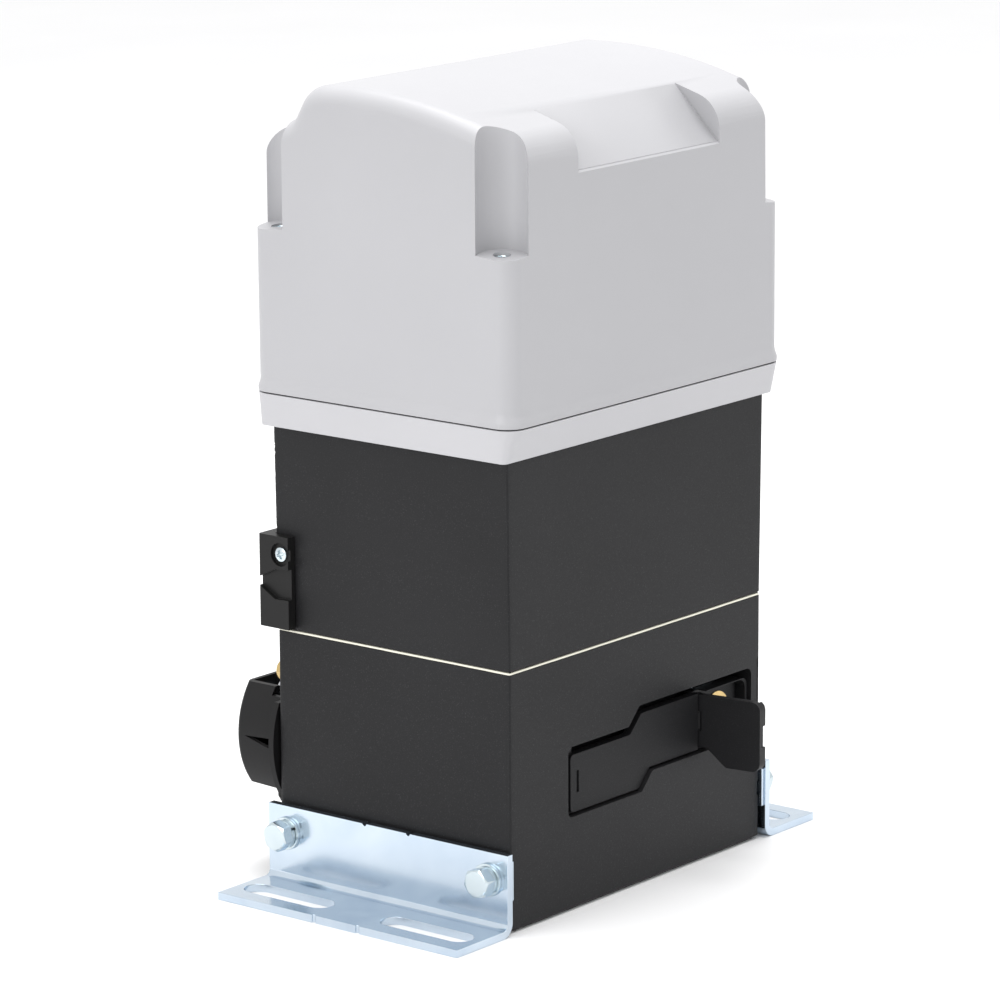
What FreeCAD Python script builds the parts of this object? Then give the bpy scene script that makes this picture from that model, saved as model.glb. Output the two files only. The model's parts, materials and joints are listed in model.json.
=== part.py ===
"""Sliding gate motor: oil-bath worm gear unit with an upright electric motor.

Axes: X to the right, Y from the lever side to the gate side, Z up. The origin is on the ground,
under the middle of the casing. All sizes are in millimetres.
"""
import math
import os

import FreeCAD
import Part

V = FreeCAD.Vector

# Casing and the levels of the joints, counted up from the ground
CASE_W = 257.0
CASE_D = 185.0
CASE_R = 7.0
CASE_WALL = 6.0
FOOT_DROP = 1.0
JOINT_Z = 162.5
GASKET_T = 1.8
CASE_TOP_Z = JOINT_Z + 132.0
CASE_TOP_GROW = 3.5
TRAY_TOP_Z = CASE_TOP_Z + 20.7
TRAY_BACK = 8.0
SEAL_T = 1.0
SIDE = CASE_W / 2
FACE = CASE_D / 2
UPPER_Z = JOINT_Z + GASKET_T
DECK_Z = UPPER_Z + 14.0

# Hood
HOOD_OVER = 10.5
HOOD_W = CASE_W + 2 * HOOD_OVER
HOOD_D = CASE_D + 2 * HOOD_OVER
HOOD_R = 13.0
HOOD_WALL = 3.0
HOOD_Z = TRAY_TOP_Z + SEAL_T
LEDGE_Z = HOOD_Z + 102.3
PILLAR_Z = LEDGE_Z - 9.0
CREST_Z = HOOD_Z + 193.3
CREST_Y = HOOD_D / 2 - 76.0
ROOF_R = 350.0
BROW_R = 22.0
SCALLOP_R = 16.0
SCALLOP_IN = 8.0
SCREW_IN = 12.0
BADGE_HALF = 71.0
BADGE_LOW_Z = CREST_Z - 47.0
BADGE_RISE = 36.0

# Worm gear: one thread on the worm, wheel on the cross shaft
WORM_MODULE = 2.5
WHEEL_TEETH = 40
WORM_R = 12.5
WORM_TURNS = 4
WHEEL_R = WORM_MODULE * WHEEL_TEETH / 2
AXLE_X = 60.0 - SIDE
AXLE_Z = 93.0
MOTOR_X = AXLE_X + WHEEL_R + WORM_R
WHEEL_T = 22.0
WHEEL_Y = (-WHEEL_T / 2, WHEEL_T / 2)
PITCH = math.pi * WORM_MODULE

# Cross shaft with its clutch, bearings and the push rod inside
SHAFT_R = 15.0
SHAFT_SEATS = (29.5 - FACE, 44.5 - FACE)
SEAT_Y = FACE - 14.5
BACK_BEARING = (SEAT_Y - 16.0, SEAT_Y)
CLUTCH_Y = (WHEEL_Y[1] + 2.35, WHEEL_Y[1] + 10.0)
CLUTCH_PIN_Y = CLUTCH_Y[1] + 5.0
SPRINGS = 5
ROD_R = 4.0
ROD_HEAD_R = 8.0
ROD_TRAVEL = 3.0
ROD_FRONT_Y = 14.85 - FACE

# Rack pinion and its guard behind the casing
PINION_MODULE = 4.0
PINION_TEETH = 15
PINION_T = 27.0
PINION_Y = (FACE + 5, FACE + 5 + PINION_T)
SHAFT_END_Y = PINION_Y[1]
GUARD_Z = AXLE_Z - 6
GUARD_R = 54.5
GUARD_WALL = 3.0
GUARD_FLANGE_R = 64.0
GUARD_DEPTH = 42.0
GUARD_TOP = 32.8
GUARD_LOW = 33.0
GUARD_SCREW_R = 59.0
GUARD_SCREW_TURNS = (18, -35, -145)
PLUG_X = 10.3 - SIDE
PLUG_Z = JOINT_Z - 28.0

# Release lever in its pocket on the lever side
POCKET_DEEP = 18.0
POCKET_Y = POCKET_DEEP - FACE
POCKET_LEFT = AXLE_X - 3.0
POCKET_RIGHT = SIDE - 9.0
POCKET_LOW = 60.0
POCKET_TALL = 45.0
POCKET_STEP = 11.5
POCKET_RADII = [4, 3, 3, 3, 3, 4, 5, 3, 3, 4]
RAMP_X = (POCKET_LEFT + 75.0, POCKET_RIGHT - 29.0)
RAMP_LONG = 14.0
LEVER_T = 6.0
LEVER_LOW = POCKET_LOW + 1.7
LEVER_HIGH = POCKET_LOW + POCKET_TALL - 6.5
FACE_Y = 2.5 - FACE
SEAT_FLOOR_Y = FACE_Y + 6.0
LEVER_BACK_Y = FACE_Y + LEVER_T + 4.5
PIVOT_X = AXLE_X + 7.0
PIVOT_Y = 9.0 - FACE
HINGE_X = POCKET_RIGHT - 49.5
HINGE_R = 2.8
AXIS_Y = FACE_Y + HINGE_R
FLAP_LEN = 45.5
FLAP_T = 4.5
FLAP_LIP = 7.5
FLAP_OPEN = 82.0
LOCK_X = POCKET_RIGHT - 26.2
LOCK_Z = POCKET_LOW + POCKET_STEP + 21.3
LOCK_R = 12.0
LEVER_OPEN = 100.0

# Angle brackets
BRACKET_LONG = CASE_D + 7.0
BRACKET_TALL = 52.0
BRACKET_T = 5.0
BRACKET_OUT = SIDE + 56.5
PAD_T = 2.5
PLATE_X = -SIDE - PAD_T - BRACKET_T
SLOT_HALF_W = 9.0
SLOT_LONG = 69.0
SLOT_X = SIDE + 35.5
SLOT_Y = BRACKET_LONG / 2 - 40.5
BOLT_Y = FACE - 11.5
BOLT_Z = 34.5
BOLT_AF = 17.0

# Electric motor
STATOR_R = 66.0
ROTOR_R = 36.0
CORE_Z0 = JOINT_Z + 33.5
CORE_LONG = 56.0
CAP_Z = CASE_TOP_Z - 18.5

# Limit sensor on the back left edge of the upper casing
SENSOR_OUT = 7.5
SENSOR_Z = (UPPER_Z + 1.7, UPPER_Z + 60.7)
SENSOR_Y = (FACE - 15.5, FACE + 8.5)
SENSOR_SCREW = (FACE - 8.9, SENSOR_Z[1] - 11.5)
SENSOR_GAP = 0.3

# Circuit board under the hood
BOARD_X = (-116.0, 56.0)
BOARD_Y = (-78.0, 54.0)
BOARD_Z = CASE_TOP_Z + 17.5

FIT = 0.05
GAP = 0.35

OUT = "parts"


def box(x0, x1, y0, y1, z0, z1):
    """Box between two values on each axis."""
    return Part.makeBox(x1 - x0, y1 - y0, z1 - z0, V(x0, y0, z0))


def rod_x(r, x0, x1, y, z):
    """Round bar along X."""
    return Part.makeCylinder(r, x1 - x0, V(x0, y, z), V(1, 0, 0))


def rod_y(r, y0, y1, x, z):
    """Round bar along Y."""
    return Part.makeCylinder(r, y1 - y0, V(x, y0, z), V(0, 1, 0))


def rod_z(r, z0, z1, x, y):
    """Round bar along Z."""
    return Part.makeCylinder(r, z1 - z0, V(x, y, z0), V(0, 0, 1))


def join(shapes):
    """One solid from several that touch or overlap."""
    first = shapes[0]
    return first.fuse(shapes[1:]).removeSplitter()


def on_xy(z):
    """Turn a pair into a point on the plane at height z."""
    return lambda p: V(p[0], p[1], z)


def on_xz(y):
    """Turn a pair into a point on the upright plane at depth y."""
    return lambda p: V(p[0], y, p[1])


def on_yz(x):
    """Turn a pair into a point on the upright plane at x."""
    return lambda p: V(x, p[0], p[1])


def soft_outline(points, radii, place):
    """Closed wire through the points, with each corner rounded by its own radius."""
    count = len(points)
    starts = []
    arcs = []
    for i in range(count):
        p0 = V(*points[i - 1], 0)
        p1 = V(*points[i], 0)
        p2 = V(*points[(i + 1) % count], 0)
        a = (p0 - p1).normalize()
        b = (p2 - p1).normalize()
        r = radii[i]
        if r <= 0:
            starts.append((p1, p1))
            arcs.append(None)
            continue
        half = a.getAngle(b) / 2
        reach = r / math.tan(half)
        middle = p1 + (a + b).normalize() * (r / math.sin(half) - r)
        starts.append((p1 + a * reach, p1 + b * reach))
        arcs.append(middle)
    edges = []
    for i in range(count):
        enter, leave = starts[i]
        if arcs[i] is not None:
            edges.append(Part.Arc(*[place((q.x, q.y)) for q in (enter, arcs[i], leave)]).toShape())
        nxt = starts[(i + 1) % count][0]
        if leave.distanceToPoint(nxt) > 1e-6:
            edges.append(Part.makeLine(place((leave.x, leave.y)), place((nxt.x, nxt.y))))
    return Part.Wire(edges)


def slab(wire, push):
    """Solid made by pushing a flat closed wire along a vector."""
    return Part.Face(wire).extrude(push)


def rect_wire(w, d, r, z):
    """Rounded rectangle around the Z axis."""
    pts = [(-w / 2, -d / 2), (w / 2, -d / 2), (w / 2, d / 2), (-w / 2, d / 2)]
    return soft_outline(pts, [r] * 4, on_xy(z))


def block(w, d, r, z0, z1):
    """Upright block with rounded corners around the Z axis."""
    return slab(rect_wire(w, d, r, z0), V(0, 0, z1 - z0))


def taper(low, high):
    """Solid between two outlines of the same kind."""
    return Part.makeLoft([low, high], True, True)


def corners(dx, dy):
    """The four mirrored places around the Z axis."""
    return [(sx * dx, sy * dy) for sx in (-1, 1) for sy in (-1, 1)]


def around(r, turns, x, y):
    """Places on a circle of radius r about a middle point, at angles in degrees."""
    spots = [math.radians(a) for a in turns]
    return [(x + r * math.cos(a), y + r * math.sin(a)) for a in spots]


def gear_outline(teeth, module, thin, place):
    """Closed wire of a spur gear; thin is taken off each tooth flank."""
    pitch_r = teeth * module / 2
    base_r = pitch_r * math.cos(math.radians(20))
    tip_r = pitch_r + module
    root_r = pitch_r - 1.25 * module

    def roll(r):
        if r <= base_r:
            return 0.0
        t = math.sqrt((r / base_r) ** 2 - 1)
        return t - math.atan(t)

    half = math.pi / (2 * teeth) + roll(pitch_r) - thin / pitch_r
    radii = [root_r, max(base_r, root_r + 0.1), pitch_r, pitch_r + 0.55 * module, tip_r]
    pts = []
    for k in range(teeth):
        mid = 2 * math.pi * k / teeth + math.pi / 2
        side = [(r, half - roll(r)) for r in radii]
        walk = [(r, mid - a) for r, a in side] + [(r, mid + a) for r, a in reversed(side)]
        pts += [place((r * math.cos(t), r * math.sin(t))) for r, t in walk]
    return Part.makePolygon(pts + [pts[0]])


def hex_head(af, t, place, push):
    """Six-sided head with its chamfered outer end."""
    r = af / math.sqrt(3)
    ring = [place((r * math.cos(math.radians(60 * k)), r * math.sin(math.radians(60 * k))))
            for k in range(6)]
    body = slab(Part.makePolygon(ring + [ring[0]]), push * t)
    dome = Part.makeCone(r + 0.8, af / 2 * 0.94, 2.2, place((0, 0)) + push * (t - 2.2), push)
    bar = Part.makeCylinder(r + 0.8, t - 2.2, place((0, 0)), push)
    return body.common(join([bar, dome]))


def save(name, shape):
    """Write one piece as a STEP file."""
    if not shape.isValid():
        print("not valid:", name)
    shape.exportStep(os.path.join(OUT, name + ".step"))


# Places of the fasteners, worked out from the sizes at the top

JOINT_SCREWS = corners(SIDE - 12, FACE - 12)
TRAY_SCREWS = corners(SIDE - 34, FACE - 13)
HOOD_SCREWS = corners(HOOD_W / 2 - SCREW_IN, HOOD_D / 2 - SCREW_IN - 4)
CAP_SCREWS = around(STATOR_R + 3, (45, 135, 225, 315), MOTOR_X, 0)
GUARD_SCREWS = around(GUARD_SCREW_R, GUARD_SCREW_TURNS, AXLE_X, GUARD_Z)
BOARD_POSTS = [(x, y) for x in (BOARD_X[0] + 8, BOARD_X[1] - 8) for y in (BOARD_Y[0] + 8, BOARD_Y[1] - 8)]


# Lower casing with the lever pocket, the shaft seats and the bolt bosses

def pocket_points(grow=0.0):
    """Stepped outline of the pocket, grown outwards on all sides."""
    low = POCKET_LOW - grow
    top = POCKET_LOW + POCKET_TALL + grow
    left = POCKET_LEFT - grow
    right = POCKET_RIGHT + min(grow, SIDE - POCKET_RIGHT - 3)
    step = POCKET_STEP
    near = RAMP_X[0] + grow / 3
    far = RAMP_X[1] - grow / 3
    return [(left, low), (near, low), (near + 11, low + step), (far - RAMP_LONG, low + step), (far, low),
            (right, low), (right, top + step), (near - 2.5 - grow * 2 / 3, top + step),
            (near - 13.5 - grow * 2 / 3, top), (left, top)]


def keeper_slot(y0, y1, grow=0.0):
    """Upright slot that the lock bar passes through."""
    return box(LOCK_X - 4 - grow, LOCK_X + 4 + grow, y0, y1,
               LOCK_Z - 13 - grow, LOCK_Z + 13 + grow)


def lower_casing():
    """Oil housing with walls, tub behind the lever and the shaft bosses."""
    outer = block(CASE_W, CASE_D, CASE_R, FOOT_DROP, JOINT_Z)
    foot = outer.Edges
    rim = [e for e in foot if abs(e.BoundBox.ZMax - FOOT_DROP) < 1e-6]
    outer = outer.makeChamfer(1.5, rim)
    inner = block(CASE_W - 2 * CASE_WALL, CASE_D - 2 * CASE_WALL, CASE_R, FOOT_DROP + 8, JOINT_Z + 1)
    body = outer.cut(inner)
    tub = slab(soft_outline(pocket_points(6.5), [3] * 10, on_xz(1 - FACE)), V(0, POCKET_DEEP + 5.5, 0))
    tub = tub.common(box(-SIDE + 1, SIDE - 1, -FACE + 1, 0, 5, JOINT_Z))
    front_boss = rod_y(33, POCKET_Y, SHAFT_SEATS[1] + 1, AXLE_X, AXLE_Z)
    back_boss = rod_y(40, BACK_BEARING[0] - 1, FACE - 1, AXLE_X, AXLE_Z)
    toe_boss = rod_z(25, FOOT_DROP + 2, 29, MOTOR_X, 0)
    posts = [rod_z(9, FOOT_DROP + 2, JOINT_Z, x, y) for x, y in JOINT_SCREWS]
    posts = [p.cut(rod_y(WHEEL_R + 4.5, -WHEEL_T, WHEEL_T, AXLE_X, AXLE_Z)) for p in posts]
    ears = [rod_x(11, SIDE - 22, SIDE - 1, y, BOLT_Z) for y in (-BOLT_Y, BOLT_Y)]
    ears += [rod_x(11, -SIDE + 1, -SIDE + 22, y, BOLT_Z) for y in (-BOLT_Y, BOLT_Y)]
    body = join([body, tub, front_boss, back_boss, toe_boss] + posts + ears)
    pocket = slab(soft_outline(pocket_points(), POCKET_RADII, on_xz(-FACE - 1)), V(0, POCKET_DEEP + 1, 0))
    body = body.cut(pocket)
    cuts = [rod_y(26, SHAFT_SEATS[0], SHAFT_SEATS[1] + 2, AXLE_X, AXLE_Z),
            rod_y(ROD_R + FIT, POCKET_Y - 1, SHAFT_SEATS[0] + 1, AXLE_X, AXLE_Z),
            rod_y(ROD_HEAD_R + 0.6, ROD_FRONT_Y - 1, POCKET_Y + 4.5, AXLE_X, AXLE_Z),
            rod_y(31, BACK_BEARING[0] - 2, SEAT_Y, AXLE_X, AXLE_Z),
            rod_y(23.5, SEAT_Y - 1, SEAT_Y + 7, AXLE_X, AXLE_Z),
            rod_y(SHAFT_R + 1.5, SEAT_Y, FACE + 1, AXLE_X, AXLE_Z),
            rod_z(17.5, 14, 30, MOTOR_X, 0),
            rod_z(3.0, POCKET_LOW - 5, POCKET_LOW + POCKET_TALL + 5, PIVOT_X, PIVOT_Y),
            rod_y(15, POCKET_Y - 1, POCKET_Y + 3.2, LOCK_X, LOCK_Z),
            rod_y(5, FACE - 12, FACE + 1, PLUG_X, PLUG_Z)]
    cuts += [rod_x(5, SIDE - 20, SIDE + 1, y, BOLT_Z) for y in (-BOLT_Y, BOLT_Y)]
    cuts += [rod_x(5, -SIDE - 1, -SIDE + 20, y, BOLT_Z) for y in (-BOLT_Y, BOLT_Y)]
    cuts += [rod_z(3, JOINT_Z - 16, JOINT_Z + 1, x, y) for x, y in JOINT_SCREWS]
    cuts += [rod_y(2.5, FACE - 5.5, FACE + 1, x, z) for x, z in GUARD_SCREWS]
    cuts += [rod_y(2, POCKET_Y - 1, POCKET_Y + 4, LOCK_X + dx, LOCK_Z) for dx in (-19, 19)]
    for tool in cuts:
        body = body.cut(tool)
    return body.removeSplitter()


def joint_gasket():
    """Thin ring between the two casings."""
    ring = block(CASE_W, CASE_D, CASE_R, JOINT_Z, JOINT_Z + GASKET_T)
    ring = ring.cut(block(CASE_W - 2 * CASE_WALL, CASE_D - 2 * CASE_WALL, CASE_R, 0, JOINT_Z + 9))
    ears = [rod_z(9, JOINT_Z, JOINT_Z + GASKET_T, x, y) for x, y in JOINT_SCREWS]
    ring = join([ring] + ears)
    for x, y in JOINT_SCREWS:
        ring = ring.cut(rod_z(3.4, 0, 200, x, y))
    return ring


def upper_casing():
    """Motor housing: outer skin, deck over the oil and the tube for the stator."""
    top = CASE_TOP_GROW
    outer = taper(rect_wire(CASE_W, CASE_D, CASE_R, UPPER_Z + 1),
                  rect_wire(CASE_W + top, CASE_D + 0.4, CASE_R, CASE_TOP_Z))
    lip = taper(rect_wire(CASE_W - 2, CASE_D - 2, CASE_R - 1, UPPER_Z),
                rect_wire(CASE_W, CASE_D, CASE_R, UPPER_Z + 1))
    outer = join([outer, lip])
    inner = block(CASE_W - 2 * CASE_WALL, CASE_D - 2 * CASE_WALL, CASE_R, DECK_Z, CASE_TOP_Z + 1)
    tube = rod_z(STATOR_R + 6, DECK_Z - 1, CAP_Z, MOTOR_X, 0)
    posts = [rod_z(8, DECK_Z - 1, CASE_TOP_Z, x, y) for x, y in TRAY_SCREWS]
    body = join([outer.cut(inner), tube] + posts)
    cuts = [rod_z(STATOR_R + FIT, DECK_Z, CASE_TOP_Z + 1, MOTOR_X, 0),
            rod_z(23.5, UPPER_Z - 1, UPPER_Z + 14.0, MOTOR_X, 0),
            rod_z(14, UPPER_Z, DECK_Z + 1, MOTOR_X, 0)]
    for x, y in TRAY_SCREWS:
        cuts.append(rod_z(2.5, CASE_TOP_Z - 14, CASE_TOP_Z + 1, x, y))
    for x, y in JOINT_SCREWS:
        cuts.append(rod_z(3.4, UPPER_Z - 1, UPPER_Z + 9, x, y))
    cuts += [rod_z(1.6, CAP_Z - 12, CAP_Z + 1, x, y) for x, y in CAP_SCREWS]
    cuts.append(rod_x(2.1, -SIDE - 3, -SIDE + 12, SENSOR_SCREW[0], SENSOR_SCREW[1]))
    for tool in cuts:
        body = body.cut(tool)
    return body.removeSplitter()


def support_tray():
    """Grey skirt, wider at the back, with a floor for the electronics and pillars for the hood screws."""
    foot = rect_wire(HOOD_W - 7, CASE_D + 1.5 + TRAY_BACK, CASE_R + 2, CASE_TOP_Z)
    floor = rect_wire(HOOD_W - 15, CASE_D - 7 + TRAY_BACK, CASE_R, CASE_TOP_Z + 4)
    for wire in (foot, floor):
        wire.translate(V(0, TRAY_BACK / 2, 0))
    outer = taper(foot, rect_wire(HOOD_W, HOOD_D, HOOD_R, TRAY_TOP_Z))
    inner = taper(floor, rect_wire(HOOD_W - 11, HOOD_D - 11, HOOD_R - 5, TRAY_TOP_Z + 0.2))
    body = outer.cut(inner)
    pillars = [rod_z(7.0, CASE_TOP_Z + 2, PILLAR_Z, x, y) for x, y in HOOD_SCREWS]
    posts = [rod_z(4, CASE_TOP_Z + 2, BOARD_Z, x, y) for x, y in BOARD_POSTS]
    body = join([body] + pillars + posts)
    cuts = [rod_z(48, CASE_TOP_Z - 1, CASE_TOP_Z + 9, MOTOR_X, 0)]
    cuts += [rod_z(2.5, PILLAR_Z - 20, PILLAR_Z + 1, x, y) for x, y in HOOD_SCREWS]
    cuts += [rod_z(1.5, BOARD_Z - 8, BOARD_Z + 1, x, y) for x, y in BOARD_POSTS]
    cuts += [rod_z(2.8, CASE_TOP_Z - 1, CASE_TOP_Z + 9, x, y) for x, y in TRAY_SCREWS]
    for tool in cuts:
        body = body.cut(tool)
    return body.removeSplitter()


def hood_gasket():
    """Dark sealing ring in the parting line."""
    ring = block(HOOD_W - 3, HOOD_D - 3, HOOD_R - 1.5, TRAY_TOP_Z, TRAY_TOP_Z + SEAL_T)
    return ring.cut(block(HOOD_W - 10, HOOD_D - 10, HOOD_R - 5, TRAY_TOP_Z - 1, TRAY_TOP_Z + 5))


def line_cross(p, a, q, b):
    """Crossing of two lines, each given by a point and a slope angle in degrees."""
    ta = math.tan(math.radians(a))
    tb = math.tan(math.radians(b))
    y = (q[1] - p[1] + ta * p[0] - tb * q[0]) / (ta - tb)
    return (y, p[1] + ta * (y - p[0]))


def roof_point(y):
    """Point and slope of the roof arc over y."""
    d = y - CREST_Y
    return (y, CREST_Z - d * d / (2 * ROOF_R)), -math.degrees(math.atan(d / ROOF_R))


def hood_side(inset):
    """Side view of the hood: brow, arched roof, drop and rear shoulder."""
    front = -HOOD_D / 2 + 2.2
    back = HOOD_D / 2 - 0.5
    fore, fore_slope = roof_point(24.0 - HOOD_D / 2)
    aft, aft_slope = roof_point(HOOD_D / 2 - 63.0)
    brow = (front, fore[1] + math.tan(math.radians(fore_slope)) * (front - fore[0]))
    ridge = line_cross(fore, fore_slope, aft, aft_slope)
    turn = math.radians(fore_slope - aft_slope)
    reach = fore[0] - ridge[0]
    arc_r = abs(reach) / math.cos(math.radians(fore_slope)) / math.tan(turn / 2) * 0.96
    drop = (HOOD_D / 2 - 41.0, CREST_Z - 8.4)
    shoulder = (HOOD_D / 2 - 24.0, CREST_Z - 26.5)
    top = line_cross(aft, aft_slope, drop, -60.5)
    foot = line_cross(drop, -60.5, shoulder, -24.0)
    heel = (back, shoulder[1] - math.tan(math.radians(24.0)) * (back - shoulder[0]))
    pts = [(front - 1.2, HOOD_Z), brow, ridge, top, foot, heel, (back, HOOD_Z)]
    radii = [0, BROW_R, arc_r, 22, 9, 17, 0]
    wire = soft_outline(pts, radii, on_yz(-HOOD_W / 2 + 1 + inset))
    if inset > 0:
        wire = wire.makeOffset2D(-inset, 0, False, False)
    return slab(wire, V(HOOD_W - 2 - 2 * inset, 0, 0))


def scallop(x, y, r, z):
    """Upright round cut for one corner, with a floor that falls outwards."""
    cx = math.copysign(HOOD_W / 2 - SCALLOP_IN, x)
    cy = math.copysign(HOOD_D / 2 - SCALLOP_IN - 5, y)
    tool = rod_z(r, z - 20, CREST_Z + 20, cx, cy)
    wedge = box(0, 80, -60, 60, 0, 300)
    wedge = wedge.fuse(box(-60, 0, -60, 60, 0, 300))
    out = math.degrees(math.atan2(cy, cx))
    wedge.rotate(V(0, 0, 0), V(0, 1, 0), 8.0)
    wedge.rotate(V(0, 0, 0), V(0, 0, 1), out)
    wedge.translate(V(cx, cy, z))
    return tool.common(wedge)


def badge_cut(grow):
    """Sloping flat on the brow, where a name plate would go."""
    low = (-HOOD_D / 2 + 2.2, BADGE_LOW_Z)
    pts = [(low[0] - 2, low[1] - 2), (low[0] + BADGE_RISE, low[1] + BADGE_RISE),
           (low[0] + BADGE_RISE, low[1] + 90), (low[0] - 30, low[1] + 90), (low[0] - 30, low[1] - 2)]
    pts[0] = (pts[0][0] + grow * 0.71, pts[0][1] - grow * 0.71)
    pts[1] = (pts[1][0] + grow * 1.42, pts[1][1])
    pts[2] = (pts[2][0] + grow * 1.42, pts[2][1])
    pts[4] = (pts[4][0], pts[4][1] - grow * 0.71)
    wire = soft_outline(pts, [0] * 5, on_yz(-BADGE_HALF - grow))
    return slab(wire, V(2 * (BADGE_HALF + grow), 0, 0))


def hood_solid(inset):
    """Filled hood shape, inset on all sides, with its end edges rounded."""
    body = hood_side(inset)
    ends = (-HOOD_W / 2 + 1 + inset, HOOD_W / 2 - 1 - inset)
    picked = []
    for e in body.Edges:
        bb = e.BoundBox
        at_end = any(abs(bb.XMin - x) < 1e-6 and abs(bb.XMax - x) < 1e-6 for x in ends)
        if at_end and bb.ZMax > HOOD_Z + 20:
            picked.append(e)
    return body.makeFillet(HOOD_R - 1 - inset, picked)


def hood():
    """Moulded hood: shell, scalloped corners, ledges with screw bosses and a flared lip."""
    outer = hood_solid(0.0).Solids[0]
    inner = hood_solid(HOOD_WALL).Solids[0]
    inner = inner.fuse(inner.translated(V(0, 0, -12))).Solids[0]
    flare = taper(rect_wire(HOOD_W, HOOD_D, HOOD_R, HOOD_Z),
                  rect_wire(HOOD_W - 2.6, HOOD_D - 2.6, HOOD_R - 1, HOOD_Z + 13))
    for x, y in corners(1, 1):
        outer = outer.cut(scallop(x, y, SCALLOP_R, LEDGE_Z)).Solids[0]
        inner = inner.cut(scallop(x, y, SCALLOP_R + HOOD_WALL, LEDGE_Z - HOOD_WALL)).Solids[0]
    outer = outer.cut(badge_cut(0.0)).Solids[0]
    inner = inner.cut(badge_cut(HOOD_WALL)).Solids[0]
    outer = outer.fuse(flare).Solids[0]
    shell = outer.cut(inner).Solids[0]
    bosses = [rod_z(8.7, PILLAR_Z, LEDGE_Z - 2, x, y) for x, y in HOOD_SCREWS]
    shell = shell.fuse(bosses).Solids[0]
    for x, y in HOOD_SCREWS:
        shell = shell.cut(rod_z(5.5, PILLAR_Z + 4, LEDGE_Z + 9, x, y)).Solids[0]
        shell = shell.cut(rod_z(2.8, PILLAR_Z - 1, PILLAR_Z + 5, x, y)).Solids[0]
    return shell


# Release lever, its flap, lock and pins

def cam_outline():
    """Cam whose reach grows evenly with the turn, so the rod keeps its small gap."""
    rate = ROD_TRAVEL / math.radians(LEVER_OPEN)
    base = ROD_FRONT_Y - GAP - PIVOT_Y
    pts = []
    for step in range(0, 13):
        turn = math.radians(LEVER_OPEN + 8) * step / 12
        reach = base + rate * turn
        a = math.pi / 2 + turn
        pts.append((PIVOT_X + reach * math.cos(a) - rate * math.sin(a),
                    reach * math.sin(a) + rate * math.cos(a)))
    pts = [(x, PIVOT_Y + y) for x, y in pts]
    pts += [(PIVOT_X + 5.2, PIVOT_Y - 2.0), (PIVOT_X + 5.2, PIVOT_Y + 2.5), (PIVOT_X + 3.0, PIVOT_Y + 5.0)]
    return Part.makePolygon([V(x, y, LEVER_LOW) for x, y in pts + [pts[0]]])


def flap_points(grow=0.0):
    """Outline of the closed flap."""
    low = LEVER_LOW + 1.5 - grow
    high = LEVER_HIGH + POCKET_STEP - 1.2 + grow
    left = HINGE_X - 2.2 - grow
    far = RAMP_X[1]
    right = HINGE_X + FLAP_LEN + grow
    return [(left, low + 11.2), (far - 13.0, low + 11.2), (far + 0.6, low), (right, low),
            (right, high), (left, high)]


def release_lever():
    """Stepped lever with a sunk seat for the flap, the hinge lug and the cam."""
    low = LEVER_LOW
    high = LEVER_HIGH
    step = POCKET_STEP
    left = POCKET_LEFT + 5.5
    right = POCKET_RIGHT - 1.4
    near = RAMP_X[0] - 0.1
    far = RAMP_X[1] + 0.1
    pts = [(left, low), (near, low), (near + 11, low + step), (far - RAMP_LONG, low + step), (far, low),
           (right, low), (right, high + step), (near + 2.6, high + step), (near - 8.9, high), (left, high)]
    radii = [3, 3, 3, 3, 3, 4, 5, 3, 3, 3]
    plate = slab(soft_outline(pts, radii, on_xz(FACE_Y)), V(0, LEVER_T, 0))
    start = HINGE_X - 5.6
    pan = soft_outline([(start, low + step), (far - RAMP_LONG, low + step), (far, low), (right, low),
                        (right, high + step), (start, high + step)], [0, 3, 3, 4, 5, 0],
                       on_xz(FACE_Y + LEVER_T - 1))
    pan = slab(pan, V(0, 5.5, 0))
    cam = slab(cam_outline(), V(0, 0, high - low))
    barrel = rod_z(5.2, low, high, PIVOT_X, PIVOT_Y)
    body = join([plate, pan, cam, barrel])
    seat = slab(soft_outline(flap_points(0.6), [0, 3, 3, 6, 6, 0], on_xz(FACE_Y - 1)),
                V(0, SEAT_FLOOR_Y - FACE_Y + 1, 0))
    outline = soft_outline(flap_points(0.6), [0, 3, 3, 6, 6, 0], on_xz(FACE_Y))
    groove = slab(outline, V(0, FLAP_LIP + 0.6, 0))
    groove = groove.common(box(HINGE_X + FLAP_LEN - 3.6, SIDE, FACE_Y, FACE_Y + 20, 0, 200))
    body = body.cut(seat).cut(groove)
    sweep = HINGE_R + 1.8
    body = body.cut(box(HINGE_X - sweep, HINGE_X + sweep, FACE_Y - 1, SEAT_FLOOR_Y, 0, 200))
    lug_mid = (low + step + high + step) / 2
    lug = join([rod_z(2.7, lug_mid - 6, lug_mid + 6, HINGE_X, AXIS_Y),
                box(HINGE_X - 2.7, HINGE_X + 2.7, AXIS_Y, SEAT_FLOOR_Y + 1, lug_mid - 6, lug_mid + 6)])
    body = join([body, lug])
    cuts = [rod_z(3.0 + FIT, low - 1, high + 1, PIVOT_X, PIVOT_Y),
            rod_z(1.25, low, high + 30, HINGE_X, AXIS_Y),
            rod_y(LOCK_R - 5 + FIT, FACE_Y, POCKET_Y, LOCK_X, LOCK_Z),
            rod_y(LOCK_R + FIT, FACE_Y, SEAT_FLOOR_Y + 1.5, LOCK_X, LOCK_Z),
            box(PIVOT_X + 1.4, PIVOT_X + 3.8, FACE_Y - 1, FACE_Y + 1.2, low + 12, low + 26)]
    for tool in cuts:
        body = body.cut(tool)
    return body.removeSplitter()


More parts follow.
